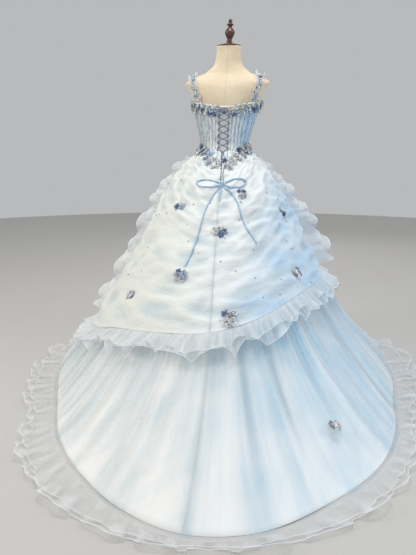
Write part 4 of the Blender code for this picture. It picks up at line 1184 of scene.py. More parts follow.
# ---- what every sub-assembly shares
@dataclass
class Workroom:
    """The trees and the small shapes that the sub-assemblies share, and what is done to every piece."""

    sweeps: Sweeps = field(default_factory=Sweeps)
    strings: Strings = field(default_factory=Strings)
    beds: Beds = field(default_factory=Beds)
    notions: Haberdashery = field(default_factory=Haberdashery)

    def __post_init__(self) -> None:
        """Make the small shapes."""
        self.bead = self.notions.bead()
        self.eyelet = self.notions.eyelet()
        self.stitch = self.notions.stitch()
        self.rose = self.notions.flower("rose", [(5, 1.0, 0.16, 0.0), (5, 0.72, 0.34, 0.6),
                                                 (4, 0.42, 0.46, 0.2)], [(0.0, 1, 0.09), (0.14, 4, 0.06)])
        self.daisy = self.notions.flower("daisy", [(6, 1.0, 0.20, 0.3), (4, 0.58, 0.36, 0.9)],
                                         [(0.0, 1, 0.12), (0.20, 5, 0.07)])
        self.spray = self.notions.flower("spray", [(5, 1.0, 0.30, 0.0), (3, 0.6, 0.44, 0.4)],
                                         [(0.16, 3, 0.09)])

    def settle(self, piece: Piece, slot: str, *nodes: str) -> Piece:
        """Let a finished piece ride with the gown, and hide the nodes it stands for."""
        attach(piece, BODY)
        if nodes:
            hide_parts(*nodes)
        LOG.info("%s: %d faces", piece.name, len(piece.data.polygons))
        return piece

    def sew(self, name: str, grid: Grid, finish: Finish, slot: str, nodes: Sequence[str], held: str,
            rests_on: str, wall: float = 0.0, **marks: Grid) -> Piece:
        """Args:
            name: the piece's name.
            grid: its points, rows from the top down.
            finish: its finish.
            slot: not used.
            nodes: the nodes that it stands for.
            held: not used.
            rests_on: not used.
            wall: the thickness of opaque cloth; sheer cloth has none.
            marks: numbers for its points, which its finish reads.

        Returns:
            The piece.
        """
        whole = {mark: np.broadcast_to(values, grid.shape[:2]) for mark, values in marks.items()}
        if wall:
            piece = cloth_wall(name, grid, wall, finish, whole)
        else:
            piece = sheer_sheet(name, grid, finish, whole)
        self.settle(piece, slot, *nodes)
        a, b, c, d = grid[:-1, :-1], grid[1:, :-1], grid[1:, 1:], grid[:-1, 1:]
        area = float((np.linalg.norm(np.cross(c - a, d - b), axis=-1) / 2).sum())
        return piece

    def tube(self, name: str, routes: Sequence[Grid], radius: float, finish: Finish, slot: str,
             *nodes: str, sides: int = 6) -> Piece:
        """Make round tubes along routes, and settle them."""
        return self.settle(self.sweeps.tube(name, routes, radius, finish, sides), slot, *nodes)

    def sow(self, name: str, seats: Sequence[Seat], shape: Piece, finish: Finish, slot: str,
            *nodes: str) -> Piece:
        """Set a shape on seats, and settle what it makes."""
        return self.settle(self.beds.sow(name, seats, shape, finish), slot, *nodes)

    def frill(self, names: Sequence[str], sheets: Sequence[tuple[Grid, Grid]], around: Grid,
              finish: Finish, hem_radius: float) -> None:
        """Make a frill of two layers, the first of which stands for its node, with rolled hems.

        Args:
            names: of both layers, of their hems, of the node and of the node that it rests on.
            sheets: each layer's points, from its sewn edge outwards, and how dense it is at each.
            around: where each column lies round the gown.
            finish: its finish.
            hem_radius: half the thickness of the hems.
        """
        for name, (grid, ply), nodes in zip(names, sheets, ([names[3]], [])):
            self.sew(name, grid, finish, "tulle", nodes, "gathered", names[4], ply=ply, round=around)
        hems = [np.maximum(grid[-1], [-9, -9, hem_radius + 0.0002]) for grid, _ in sheets]
        self.tube(names[2], hems, hem_radius, Finish.HEMMING, "tulle", sides=5)

    def cord(self, name: str, path: Grid, radius: float, finish: Finish, slot: str, node: str,
             far_end: str, lay: str, sides: int, held: Sequence[Piece] = ()) -> None:
        """Args:
            name: the piece's name.
            path: its middle line, from where it comes out to its far end.
            radius: half its thickness.
            finish: its finish.
            slot: not used.
            node: the node that it stands for.
            far_end: not used.
            lay: not used.
            sides: how many sides it is made with.
            held: not used.
        """
        piece = self.tube(name, [path], radius, finish, slot, node, sides=sides)


def rings_of(node: str) -> Grid:
    """Rings of points of a turned or oval node, from the top down and the same way round."""
    points = np.array([v.co for v in bpy.data.objects[node].data.vertices])
    points = np.unique(np.round(points, 5), axis=0)
    rings = []
    for level in np.unique(np.round(points[:, 2], 3))[::-1]:
        ring = points[np.abs(points[:, 2] - level) < 0.0008]
        if len(ring) < 8:
            continue
        middle = (ring.min(0) + ring.max(0)) / 2
        ring = ring[np.hypot(*(ring - middle)[:, :2].T) > 0.3 * np.ptp(ring[:, 0]) / 2]
        rings.append(ring[np.argsort(np.arctan2(*(ring - middle)[:, :2].T))[::-1]])
    count = max(len(ring) for ring in rings)
    return np.stack([ring for ring in rings if len(ring) == count])


def refine(rings: Grid, across: int, down: int) -> Grid:
    """A finer grid of rings, on smooth curves round and down through the given ones."""
    count = rings.shape[1]
    wide = np.concatenate([rings[:, -2:], rings, rings[:, :3]], axis=1)
    wide = np.stack([smooth_route(ring, across) for ring in wide])
    wide = wide[:, 2 * across:(2 + count) * across]
    if down < 2:
        return wide
    return np.stack([smooth_route(wide[:, c], down) for c in range(wide.shape[1])], axis=1)


# ---- dress form and stand
@dataclass
class DressForm:
    """The padded torso, its turned cap, and the pole and base under the skirt."""

    room: Workroom
    seam_ends: tuple[float, float] = (1.55, 1.28)
    seam_points: int = 60
    stitch_pitch: float = 0.006
    stitch_length: float = 0.0042
    hard_angle: float = 40.0

    def turn(self, name: str, node: str, finish: Finish, slot: str, across: int = 5,
             down: int = 5) -> Piece:
        """Make a piece on a finer grid of its node's rings."""
        piece = closed_turning(name, refine(rings_of(node), across, down), finish)
        return self.room.settle(piece, slot, node)

    def build(self) -> BVHTree:
        """Make the form.

        Returns:
            The torso's surface, which the straps lie on.
        """
        torso = self.turn("jersey_torso", "form_torso", Finish.JERSEY, "form")
        skin = surface_of([torso])
        self.sew_back_seam(skin)
        self.turn("walnut_finial", "neck_cap", Finish.WALNUT, "walnut")
        for name, node in (("steel_pole", "stand_pole"), ("steel_base", "stand_base")):
            piece = self.turn(name, node, Finish.STEEL, "stand", 4, 1)
            piece.data.set_sharp_from_angle(angle=math.radians(self.hard_angle))
        return skin

    def sew_back_seam(self, skin: BVHTree) -> None:
        """The stitched seam down the centre of the back."""
        line = []
        for z in np.linspace(*self.seam_ends, self.seam_points):
            seat, normal = from_behind(skin, FORM.lean * (z - FORM.waist_z), z, -0.5)
            line.append(seat + normal * 0.0002)
        seam = self.room.strings.along("back_seam_stitches", [np.array(line)], self.stitch_pitch,
                                       self.room.stitch, Finish.THREAD, self.stitch_length)
        self.room.settle(seam, "form")


# ---- skirts
@dataclass
class Lining:
    """The white satin skirt under the tulle, in six gores."""

    room: Workroom
    names: tuple[str, ...] = ("back_left", "back_right", "side_right", "front_right", "front_left",
                              "side_left")
    gore_angle: float = 60.0
    columns: int = 44
    rows: int = 56
    wall: float = 0.0012
    off_floor: float = 0.0002
    fold_height: float = 0.0034
    folds: Ripples = Ripples(11, (9, 23), (0.1, 0.6))
    fold_rise: tuple[Level, ...] = (Level(0, 0), Level(3, 0.35), Level(6, 0.8), Level(9, 1.0),
                                    Level(10, 0.6))

    def build(self) -> None:
        """Make the six gores."""
        row = np.linspace(0, 10, self.rows)[:, None]
        rise = self.fold_height * read_table(self.fold_rise, "value", row)
        for number, name in enumerate(self.names):
            start = self.gore_angle * (number - 1)
            azimuth = np.linspace(start, start + self.gore_angle, self.columns)[None, :]
            out = rise * self.folds.at(azimuth, row / 10)
            grid = FORM.skirt_point(azimuth, row, out, seam_shift(self.columns))
            grid[..., 2] = np.maximum(grid[..., 2], self.wall + self.off_floor)
            self.room.sew("satin_gore_" + name, grid, Finish.SATIN, "satin", ["lining_" + name], "hung",
                          "form_torso", self.wall)


@dataclass
class TulleSkirt:
    """The tulle skirt over the lining: long folds that spread from under the overskirt."""

    room: Workroom
    names: tuple[str, ...] = ("front_left", "side_left", "back_left", "back_right", "side_right",
                              "front_right")
    folds_per_gore: tuple[int, ...] = (4, 4, 4, 4, 5, 4)
    folds: tuple[Level, ...] = (
        Level(-180, 0.014), Level(-162, 0.018), Level(-142, 0.014), Level(-121, 0.016),
        Level(-101, 0.012), Level(-86, 0.020), Level(-72, 0.024), Level(-60, 0.017),
        Level(-49, 0.022), Level(-38, 0.026), Level(-27, 0.018), Level(-17, 0.021),
        Level(-8, 0.024), Level(2, 0.016), Level(11, 0.022), Level(21, 0.026), Level(33, 0.018),
        Level(45, 0.024), Level(57, 0.020), Level(71, 0.016), Level(86, 0.022), Level(101, 0.014),
        Level(119, 0.017), Level(139, 0.013), Level(160, 0.018))
    fold_rise: tuple[Level, ...] = (Level(5.6, 0.0), Level(7, 0.22), Level(8, 1.0), Level(9, 0.95),
                                    Level(10, 0.10))
    pleat_rise: tuple[Level, ...] = (Level(0.6, 0.0), Level(1.5, 0.6), Level(6, 0.9), Level(7, 1.0),
                                     Level(8.5, 0.7), Level(10, 0.15))
    pleats: int = 150
    pleat_height: float = 0.0032
    columns_per_fold: int = 22
    rows: int = 84
    edge_run: float = 0.015
    edge_z: float = 0.0006
    valley_width: float = 1.15

    def starts(self) -> Grid:
        """Azimuths where the long folds start, and where the last one ends."""
        return np.array([start.at for start in self.folds] + [180.0])

    def ridge(self, azimuth: Grid) -> tuple[Grid, Grid]:
        """Height of the long folds, and how steep their sides are."""
        starts = self.starts()
        heights = np.array([start.value for start in self.folds])
        turned = (azimuth + 180) % 360 - 180
        index = np.clip(np.searchsorted(starts, turned, side="right") - 1, 0, len(heights) - 1)
        share = (turned - starts[index]) / (starts[index + 1] - starts[index])
        rise, flank = fold(share, (0.40, 0.64), (0.30, 0.74), 0.09)
        return heights[index] * rise, flank

    def valley(self, azimuth: Grid) -> Grid:
        """How near each azimuth is to the bottom of a valley between two long folds, where the net's finish
        paints shade.
        """
        starts = self.starts()[:, None]
        gap = np.abs((azimuth + 180) % 360 - 180 - starts)
        depth = 0.55 + 0.45 * np.sin(starts * 1.9)
        return (hump(gap, 0.0, self.valley_width) * depth).sum(axis=0)[None, :]

    def pleat(self, azimuth: Grid, row: Grid) -> Grid:
        """Fine gathers, from 0 to 1, uneven round the skirt."""
        drift = Ripples(23, (2, 7), (0.0, 0.3)).at(azimuth, row / 10)
        wave = np.sin(np.radians(azimuth) * self.pleats + drift * 7.0)
        fade = 0.55 + 0.45 * Ripples(29, (5, 19), (0.2, 1.0)).at(azimuth, row / 10)
        return np.clip(0.5 + 0.5 * wave, 0, 1) ** 1.6 * np.clip(fade, 0, 1)

    def build(self) -> list[Piece]:
        """Make the six gores.

        Returns:
            Their pieces.
        """
        made, first = [], 0
        starts = self.starts()
        row = np.linspace(0, 10, self.rows)[:, None]
        rise = read_table(self.fold_rise, "value", row)
        for name, folds in zip(self.names, self.folds_per_gore):
            last = first + folds
            parts = [np.linspace(starts[f], starts[f + 1], self.columns_per_fold, endpoint=False)
                     for f in range(first, last)]
            azimuth = np.concatenate(parts + [[starts[last]]])[None, :]
            ridge, flank = self.ridge(azimuth)
            pleat = self.pleat(azimuth, row) * read_table(self.pleat_rise, "value", row)
            out = FORM.layer(row, "tulle") + ridge * rise + self.pleat_height * pleat
            shift = seam_shift(azimuth.shape[1])
            grid = FORM.skirt_point(azimuth, row, out, shift)
            reach = FORM.hem_reach(azimuth, "lining") + self.edge_run
            edge = FORM.place(azimuth + np.degrees(shift / reach), reach, self.edge_z)
            grid = np.concatenate([grid, (grid[-1:] + edge) / 2 + [0, 0, 0.001], edge])
            # painted shade: the valley mark darkens the net between long folds and beneath the flounce; the
            # extra ply near the top is partly gathered net and partly painted shade beneath the flounce
            ply = (0.10 + 0.50 * flank * rise + 0.40 * pleat * (1 - smooth_step(6.5, 9.3, row))
                   + 0.42 * (1 - smooth_step(5.8, 8.6, row)))
            valley = self.valley(azimuth) * smooth_step(4.5, 6.2, row) * (1 - smooth_step(7.4, 9.7, row))
            valley = valley + 0.42 * (1 - smooth_step(5.4, 7.6, row))
            ply, valley = (np.pad(mark, ((0, 2), (0, 0)), mode="edge") for mark in (ply, valley))
            made.append(self.room.sew("tulle_gore_" + name, grid, Finish.TULLE, "tulle", ["tulle_" + name],
                                      "hung", "lining_" + name, ply=ply, round=azimuth, valley=valley))
            first = last
        return made


@dataclass
class HemRuffles:
    """The tulle's sheer gathered edge, which lies on the floor in waves round the whole gown."""

    room: Workroom
    sectors: int = 6
    waves: int = 48
    start_run: float = 0.0165
    wave_height: float = 0.026
    wave_reach: float = 0.022
    lower_height: float = 0.35
    lower_drift: float = 0.47
    columns_per_wave: int = 26
    rows: int = 14
    hem_radius: float = 0.0014
    wander: Ripples = Ripples(41, (3, 13), (0.0, 0.2))
    crease: Ripples = Ripples(43, (40, 120), (0.3, 1.2), 9)

    def sheet(self, azimuth: Grid, share: Grid, lower: bool) -> tuple[Grid, Grid]:
        """One layer's points, and how dense it is at each.

        Args:
            azimuth: the columns' azimuths.
            share: the rows' shares of the way from the skirt to the edge.
            lower: whether this is the flatter layer underneath.

        Returns:
            The points and their density.
        """
        turn = (azimuth + self.wander.at(azimuth, 0.0) * 2.2) * self.waves / 360
        turn = turn + (self.lower_drift if lower else 0.0)
        wave = turn % 1.0
        crest, flank = fold(wave, (0.36, 0.66), (0.25, 0.78), 0.08)
        uneven = 1 + 0.45 * np.sin(np.floor(turn) * 2.4)
        crease = self.crease.at(azimuth, share)
        start = FORM.hem_reach(azimuth, "lining") + self.start_run
        end = FORM.hem_reach(azimuth, "tulle") + self.wave_reach * (crest * uneven - 0.5)
        end = end + 0.006 * crease
        if lower:
            end = end - 0.020 - 0.012 * crest
        reach = start + (end - start) * share
        height = self.wave_height * (self.lower_height if lower else 1.0)
        z = height * crest * share**0.8 * uneven + 0.0018 * (crease + 1.6) * smooth_step(0, 0.3, share)
        z = z + (0.0004 if lower else 0.0014)
        lap = 0.35 * flank * share * (wave - 0.5)
        points = FORM.place(azimuth + lap * 360 / self.waves, reach, z)
        ply = 0.10 + 0.48 * flank * share + 0.34 * np.clip(crease, 0, 1) + 0.35 * (1 - share) ** 3
        ply = ply + 0.45 * smooth_step(0.93, 1.0, share)
        return points, ply

    def build(self) -> None:
        """Make two layers in each sector, and their rolled hems."""
        share = np.linspace(0, 1, self.rows)[:, None]
        count = self.waves // self.sectors * self.columns_per_wave + 1
        for sector in range(self.sectors):
            start = sector * 360 / self.sectors
            azimuth = np.linspace(start, start + 360 / self.sectors, count)[None, :]
            azimuth[0, 0] += math.degrees(HALF_SEAM)
            azimuth[0, -1] -= math.degrees(HALF_SEAM)
            names = ["%s_%d" % (name, sector + 1) for name in
                     ("hem_ruffle_upper", "hem_ruffle_lower", "rolled_hem", "hem_ruffle", "hem_ruffle")]
            sheets = [self.sheet(azimuth, share, lower) for lower in (False, True)]
            self.room.frill(names, sheets, azimuth, Finish.ORGANZA, self.hem_radius)


# ---- overskirt
@dataclass
class Overskirt:
    """The ruched overskirt, swept up to the wearer's right, with its flounce and side ruffles."""

    room: Workroom
    side_edge: float = 100.0
    columns: int = 150
    rows: int = 104
    wall: float = 0.0016
    puff_bands: float = 4.5
    puff_height: float = 0.014
    puff_slant: float = 0.9
    gather_height: float = 0.0080
    crumple_height: float = 0.0022
    seam_width: float = 1.1
    seam_depth: float = 0.002
    lying: float = 0.0040
    flounce_waves: int = 13
    columns_per_wave: int = 22
    flounce_length: float = 0.098
    flounce_wave: float = 0.026
    flounce_flare: float = 0.014
    flounce_rows: int = 22
    slope: float = 0.82
    hem_radius: float = 0.0009
    gathers: Ripples = Ripples(51, (2.5, 11), (3.0, 9.0), 11)
    crumples: Ripples = Ripples(53, (4, 26), (8.0, 20.0), 12)

    def puff(self, azimuth: Grid, share: Grid) -> Grid:
        """Height of the ruched swags above the overskirt's plain form."""
        turn, off = np.radians(azimuth), np.abs(azimuth)
        band = self.puff_bands * share + self.puff_slant * np.sin(turn * 1.7) + 0.25 * np.sin(turn * 7)
        swell = 0.5 - 0.5 * np.cos(2 * np.pi * band)
        uneven = 0.75 + 0.25 * np.sin(turn * 5 + 9 * share)
        sides = smooth_step(0, 7, off) * smooth_step(self.side_edge, self.side_edge - 14, off)
        return self.puff_height * swell * uneven * between(0.14, 0.88, share) * sides

    def ruche(self, azimuth: Grid, share: Grid) -> tuple[Grid, Grid]:
        """Height of the small gathers, and how deep in a hollow each point lies, which the finish darkens
        as painted shade.
        """
        gather = self.gathers.at(azimuth, share)
        crumple = self.crumples.at(azimuth, share)
        ridge = 1 - np.abs(gather) ** 0.8
        ends = 0.25 + 0.75 * between(0.10, 0.95, share)
        rise = (self.gather_height * ridge + self.crumple_height * crumple) * ends
        hollow = np.clip(0.62 - ridge * 0.8 - 0.15 * crumple, 0, 1) * ends
        return rise, hollow

    def half(self, side: str, start: float, end: float) -> Piece:
        """Make one half, from the basque down to its swept hem.

        Args:
            side: left or right.
            start: the azimuth of its first column.
            end: the azimuth of its last column.

        Returns:
            The piece.
        """
        azimuth = np.linspace(start, end, self.columns)[None, :]
        share = np.linspace(0, 1, self.rows)[:, None]
        top, bottom = FORM.cover_rows(azimuth)
        row = top + (bottom - top) * share
        rise, hollow = self.ruche(azimuth, share)
        seam = hump(azimuth, 0.0, self.seam_width) * smooth_step(0.02, 0.2, share)
        out = FORM.layer(row, "cover") + self.puff(azimuth, share) + rise - self.seam_depth * seam
        lying = FORM.layer(row, "tulle") + self.wall + self.lying
        open_side = smooth_step(self.side_edge - 9, self.side_edge, np.abs(azimuth))
        out = out - np.maximum(out - lying, 0) * open_side
        grid = FORM.skirt_point(azimuth, row, out, seam_shift(self.columns))
        # painted shade: the hollows and the sunken centre-back seam are marked to be darkened
        return self.room.sew("ruched_half_" + side, grid, Finish.RUCHED, "overskirt", ["overskirt_" + side],
                             "draped", "tulle_back_" + side, self.wall,
                             hollow=np.clip(hollow + 0.45 * seam, 0, 1))

    def flounce_sheet(self, azimuth: Grid, line: Grid, layer: int) -> tuple[Grid, Grid]:
        """One layer of the flounce.

        Args:
            azimuth: the columns' azimuths.
            line: the rows' shares of the way from the overskirt's hem to the edge.
            layer: 0 for the layer underneath, 1 for the one over it.

        Returns:
            The points and their density.
        """
        turn = (azimuth / self.side_edge + 1) * self.flounce_waves + 0.38 * layer
        turn = turn + 0.55 * Ripples(61 + layer, (4, 15), (0.0, 0.2)).at(azimuth, 0.0)
        wave = turn % 1.0
        crest, flank = fold(wave, (0.38, 0.66), (0.26, 0.78), 0.09)
        uneven = 1 + 0.35 * np.sin(azimuth * 0.17)
        fine = Ripples(67 + layer, (30, 150), (0.0, 0.6), 12).at(azimuth, line)
        points = np.abs((turn / 2.0 + 0.3 * layer) % 1.0 - 0.5) * 2
        length = self.flounce_length * (0.74 + 0.52 * points**1.5 + 0.06 * np.sin(azimuth * 0.31))
        length = length * (1.0 if layer == 0 else 0.80)
        hem_z = FORM.profile(azimuth, FORM.cover_rows(azimuth)[1])[1]
        row = FORM.row_at(hem_z - 0.0008 - length * self.slope * line)
        out = (FORM.layer(row, "cover") + (self.flounce_flare + self.flounce_wave * crest * uneven) * line
               + 0.0026 * fine * smooth_step(0.0, 0.25, line) + 0.006 * layer * smooth_step(0, 0.3, line))
        ply = 0.30 + 0.40 * flank * line + 0.16 * np.clip(fine, -1, 1) + 0.34 * (1 - line) ** 2
        ply = ply + 0.35 * smooth_step(0.94, 1.0, line)
        return FORM.skirt_point(azimuth, row, out), ply

    def flounce(self, side: str, start: float, end: float) -> None:
        """The gathered flounce under one half's hem, in two layers with rolled hems."""
        azimuth = np.linspace(start, end, self.flounce_waves * self.columns_per_wave + 1)[None, :]
        line = np.linspace(0, 1, self.flounce_rows)[:, None]
        names = [name + side for name in
                 ("flounce_under_", "flounce_over_", "flounce_hem_", "flounce_", "overskirt_")]
        sheets = [self.flounce_sheet(azimuth, line, layer) for layer in range(2)]
        self.room.frill(names, sheets, azimuth, Finish.FLOUNCE, self.hem_radius)

    def build(self) -> list[Piece]:
        """Make both halves, the flounce and the side ruffles.

        Returns:
            The two halves.
        """
        halves = []
        for side, start, end in (("left", -self.side_edge, 0.0), ("right", 0.0, self.side_edge)):
            halves.append(self.half(side, start, end))
            self.flounce(side, start, end)
        SideRuffles(self.room, self.side_edge).build()
        return halves


class Width(NamedTuple):
    """A side ruffle's width at a share of its length, on each side."""

    share: float
    left: float
    right: float


@dataclass
class SideRuffles:
    """The scalloped ruffles down the overskirt's two open edges."""

    room: Workroom
    side_edge: float
    widths: tuple[Width, ...] = (Width(0.0, 0.040, 0.026), Width(0.25, 0.082, 0.050),
                                 Width(0.5, 0.096, 0.082), Width(0.75, 0.104, 0.120),
                                 Width(1.0, 0.110, 0.104))
    waves: tuple[int, int] = (8, 7)
    swing: float = 0.029
    root: float = 0.0013
    top_row: float = 0.9
    stations: int = 26
    lines: int = 14
    hem_radius: float = 0.0011
    binding_rows: int = 90
    binding_radius: float = 0.0032

    def sheet(self, side: str, direction: int, layer: int) -> tuple[Grid, Grid]:
        """One layer, from its sewn edge outwards.

        Args:
            side: left or right.
            direction: -1 on the left and 1 on the right.
            layer: 0 for the wide layer, 1 for the narrow one.

        Returns:
            The points and their density.
        """
        azimuth = direction * self.side_edge
        waves = self.waves[direction > 0]
        bottom = float(FORM.cover_rows(azimuth)[1])
        share = np.linspace(0, 1, waves * self.stations + 1)[None, :]
        line = np.linspace(0, 1, self.lines)[:, None]
        row = self.top_row + (bottom - self.top_row) * share
        out = np.minimum(FORM.layer(row, "cover") - 0.001, FORM.layer(row, "tulle") + 0.0050)
        root = FORM.skirt_point(azimuth, row, out, direction * self.root)
        face = FORM.skirt_point(azimuth, row, out)
        away = unit(FORM.skirt_point(azimuth, row, out + 0.01) - face)
        round_ = unit(FORM.skirt_point(azimuth, row, out, direction * 0.01) - face)
        width = read_table(self.widths, side, share) * (1.0 if layer == 0 else 0.78)
        wave = 2 * np.pi * (waves * share + 0.4 * layer)
        wave = wave + 0.9 * np.sin(2 * np.pi * share * 3.1 + layer)
        lobe = 0.80 + 0.35 * np.sin(2 * np.pi * share * 2.7 + 1.9 * layer)
        swing = -self.swing * width / 0.06 * np.sin(wave) * lobe
        slump = 0.45 * width * np.cos(wave) * lobe
        fine = 0.018 * width * np.sin(wave * 5 + 3 * line) * line
        reach = (width + slump * 0.5 + fine)[..., None]
        points = root + line[..., None] * (away * reach + round_ * (swing + width * 0.2 + fine)[..., None]
                                           - np.array([0, 0, 0.3]) * width[..., None])
        ply = 0.34 + 0.34 * np.abs(np.cos(wave)) * line + 0.35 * (1 - line) ** 2
        return points, ply + 0.40 * smooth_step(0.92, 1.0, line)

    def build(self) -> None:
        """Make two layers on each side, with rolled hems."""
        for side, direction in (("left", -1), ("right", 1)):
            sheets = [self.sheet(side, direction, layer) for layer in range(2)]
            around = np.linspace(0, 1, sheets[0][1].shape[1])[None, :] * 90
            names = [name + side for name in ("side_ruffle_outer_", "side_ruffle_inner_", "side_hem_",
                                              "side_ruffle_", "overskirt_")]
            self.room.frill(names, sheets, around, Finish.FLOUNCE, self.hem_radius)
            azimuth = direction * self.side_edge
            row = np.linspace(self.top_row, FORM.cover_rows(azimuth)[1], self.binding_rows)
            edge = FORM.skirt_point(azimuth, row, FORM.layer(row, "tulle") + self.binding_radius)
            self.room.tube("edge_binding_" + side, [edge], self.binding_radius, Finish.RIBBON, "overskirt",
                           sides=8)


# ---- bodice
class Panel(NamedTuple):
    """A bodice panel: its azimuths, and how many boned channels it has."""

    name: str
    start: float
    end: float
    channels: int


@dataclass
class Bodice:
    """The boned satin panels with piped and beaded channels, the lace's strip and the top binding."""

    room: Workroom
    panels: tuple[Panel, ...] = (Panel("back_right", 0, 62, 5), Panel("side_right", 62, 112, 4),
                                 Panel("front", 112, 248, 11), Panel("side_left", -112, -62, 4),
                                 Panel("back_left", -62, 0, 5))
    across: tuple[float, ...] = (0.0, 0.03, 0.07, 0.12, 0.20, 0.32, 0.44, 0.56, 0.68, 0.80, 0.88, 0.93,
                                 0.97)
    rows: int = 46
    wall: float = 0.0023
    piping_rise: float = 0.0016
    piping_half: float = 0.0012
    swell: float = 0.0009
    bead_size: float = 0.0015
    bead_pitch: float = 0.0105
    bead_points: int = 60
    bead_margin: float = 0.012
    lace_gap: float = 0.021
    gap_ends: tuple[float, float] = (1.092, 1.120)
    eyelet_size: float = 0.0030
    eyelet_x: float = 0.0262
    eyelet_reach: float = 0.098
    strip_low: float = 1.102
    strip_half: float = 0.034
    strip_taper: float = 0.006
    strip_depth: float = 0.0037
    strip_wall: float = 0.0011
    strip_reach: float = 0.092
    binding_parts: tuple[int, int] = (10, 240)
    binding_middle: tuple[float, float] = (-0.0010, 0.0040)
    binding_half: tuple[float, float] = (0.0021, 0.0037)

    def half_gap(self, z: Grid) -> Grid:
        """Half of the gap that the lace closes, at a height."""
        return HALF_SEAM + (self.lace_gap - HALF_SEAM) * smooth_step(*self.gap_ends, z)

    def spread(self, panel: Panel, share: Grid, line: Grid) -> tuple[Grid, Grid, Grid]:
        """Spread a panel between its seams and edges.

        Args:
            panel: the panel.
            share: shares of its width.
            line: shares of its height, from the top down.

        Returns:
            Azimuths and heights there, and the panel's width in metres at those heights.
        """
        azimuth = panel.start + (panel.end - panel.start) * share
        top, bottom = FORM.bodice_edge(azimuth, "top"), FORM.bodice_edge(azimuth, "bottom")
        z = top + (bottom - top) * line
        face = FORM.bodice_point(azimuth, z, 0.0)
        lean = FORM.lean * np.maximum(z - FORM.waist_z, 0.0)
        reach = np.hypot(face[..., 0] - lean, face[..., 1])
        seam = np.degrees(HALF_SEAM / reach)
        laced = np.degrees(np.arcsin(self.half_gap(z) / reach))
        start = laced if panel.start == 0 else panel.start + seam
        end = -laced if panel.end == 0 else panel.end - seam
        return start + (end - start) * share, z, np.radians(end - start) * reach

    def panel_wall(self, panel: Panel) -> None:
        """One panel: piping on each channel's edge, and cloth that swells between them."""
        parts = [k + part for k in range(panel.channels) for part in self.across]
        share = np.array(parts + [float(panel.channels)])[None, :] / panel.channels
        line = np.linspace(0, 1, self.rows)[:, None]
        azimuth, z, width = self.spread(panel, share, line)
        part = share * panel.channels
        gap = np.abs(part - np.round(part)) * width / panel.channels
        puckers = Ripples(71, (20, 60), (6, 22), 9).at(azimuth, line)
        swell = self.swell * np.abs(np.sin(np.pi * part)) * (1 + 0.45 * puckers)
        rise = self.piping_rise * hump(gap, 0.0, self.piping_half) + swell
        grid = FORM.bodice_point(azimuth, z, rise)
        self.room.sew("boned_" + panel.name, grid, Finish.BONED, "bodice", ["bodice_" + panel.name],
                      "stretched", "form_torso", self.wall, piping=hump(gap, 0.0, self.piping_half * 1.5))

    def string_beads(self) -> None:
        """A string of beads down each channel's first edge, and down the last one at the lacing."""
        line = np.linspace(0.015, 0.96, self.bead_points)
        for panel in self.panels:
            routes = []
            for k in range(panel.channels + (panel.end == 0)):
                share = min(max(k / panel.channels, self.bead_margin), 1 - self.bead_margin)
                azimuth, z, _ = self.spread(panel, np.full(self.bead_points, share), line)
                routes.append(FORM.bodice_point(azimuth, z, self.piping_rise + self.bead_size * 0.5))
            beads = self.room.strings.along("bead_strings_" + panel.name, routes, self.bead_pitch,
                                            self.room.bead, Finish.BEADS, self.bead_size)
            self.room.settle(beads, "trim")

    def set_eyelets(self) -> None:
        """Metal eyelets down both laced edges."""
        seats = []
        for k in range(Lacing.crossings + 1):
            z = Lacing.top_z - Lacing.pitch * k
            for side in (-1, 1):
                azimuth = side * math.degrees(math.asin(self.eyelet_x / self.eyelet_reach))
                point = FORM.bodice_point(azimuth, z, 0.0008)
                aim = unit(FORM.bodice_point(azimuth, z, 0.01) - point)
                seats.append(Seat(point, aim, self.eyelet_size))
        self.room.sow("lace_eyelets", seats, self.room.eyelet, Finish.METAL, "trim")

    def back_strip(self) -> None:
        """The satin strip behind the lace, with soft vertical creases."""
        top = float(FORM.bodice_edge(0, "top")) - 0.0004
        line = np.linspace(0, 1, 30)[:, None]
        share = np.linspace(-1, 1, 21)[None, :]
        z = top + (self.strip_low - top) * line
        half = self.strip_half - self.strip_taper * line
        crease = 0.0004 * np.sin(share * 9 + 3 * line)
        azimuth = np.degrees(half * share / self.strip_reach)
        grid = FORM.bodice_point(azimuth, z, -self.strip_depth + crease)
        self.room.sew("lace_strip", grid, Finish.RIBBON, "satin", ["modesty_panel"], "stretched",
                      "form_torso", self.strip_wall)

    def bind_top(self) -> None:
        """The rounded satin binding round the top edge."""
        about, round_ = self.binding_parts
        turn = np.linspace(0, 360, round_, endpoint=False)
        edge = FORM.bodice_edge(turn, "top")
        rings = []
        for angle in np.linspace(0, 2 * math.pi, about, endpoint=False):
            out = self.binding_middle[0] + self.binding_half[0] * math.cos(angle)
            ring = FORM.bodice_point(turn, edge, out)
            ring[:, 2] = edge + self.binding_middle[1] + self.binding_half[1] * math.sin(angle)
            rings.append(ring)
        grid = np.stack(rings + rings[:1])[:0:-1]
        mesh = new_mesh("top_binding_roll", grid, loop_faces(about, round_), cloth_uv(grid))
        piece = new_piece("top_binding_roll", mesh, Finish.RIBBON)
        self.room.settle(piece, "trim", "top_binding")

    def build(self) -> None:
        """Make the panels, their trims and the strip."""
        for panel in self.panels:
            self.panel_wall(panel)
        self.string_beads()
        self.set_eyelets()
        self.bind_top()
        self.back_strip()


# ---- flowers and beads
class Band(NamedTuple):
    """A band of flowers: the edge that it follows, the azimuth of its first flower, how far its middle
    is below the edge, how far flowers stand above and below its middle, their radius and its seed."""

    name: str
    edge: str
    start: float
    offset: float
    spread: float
    size: float
    seed: int


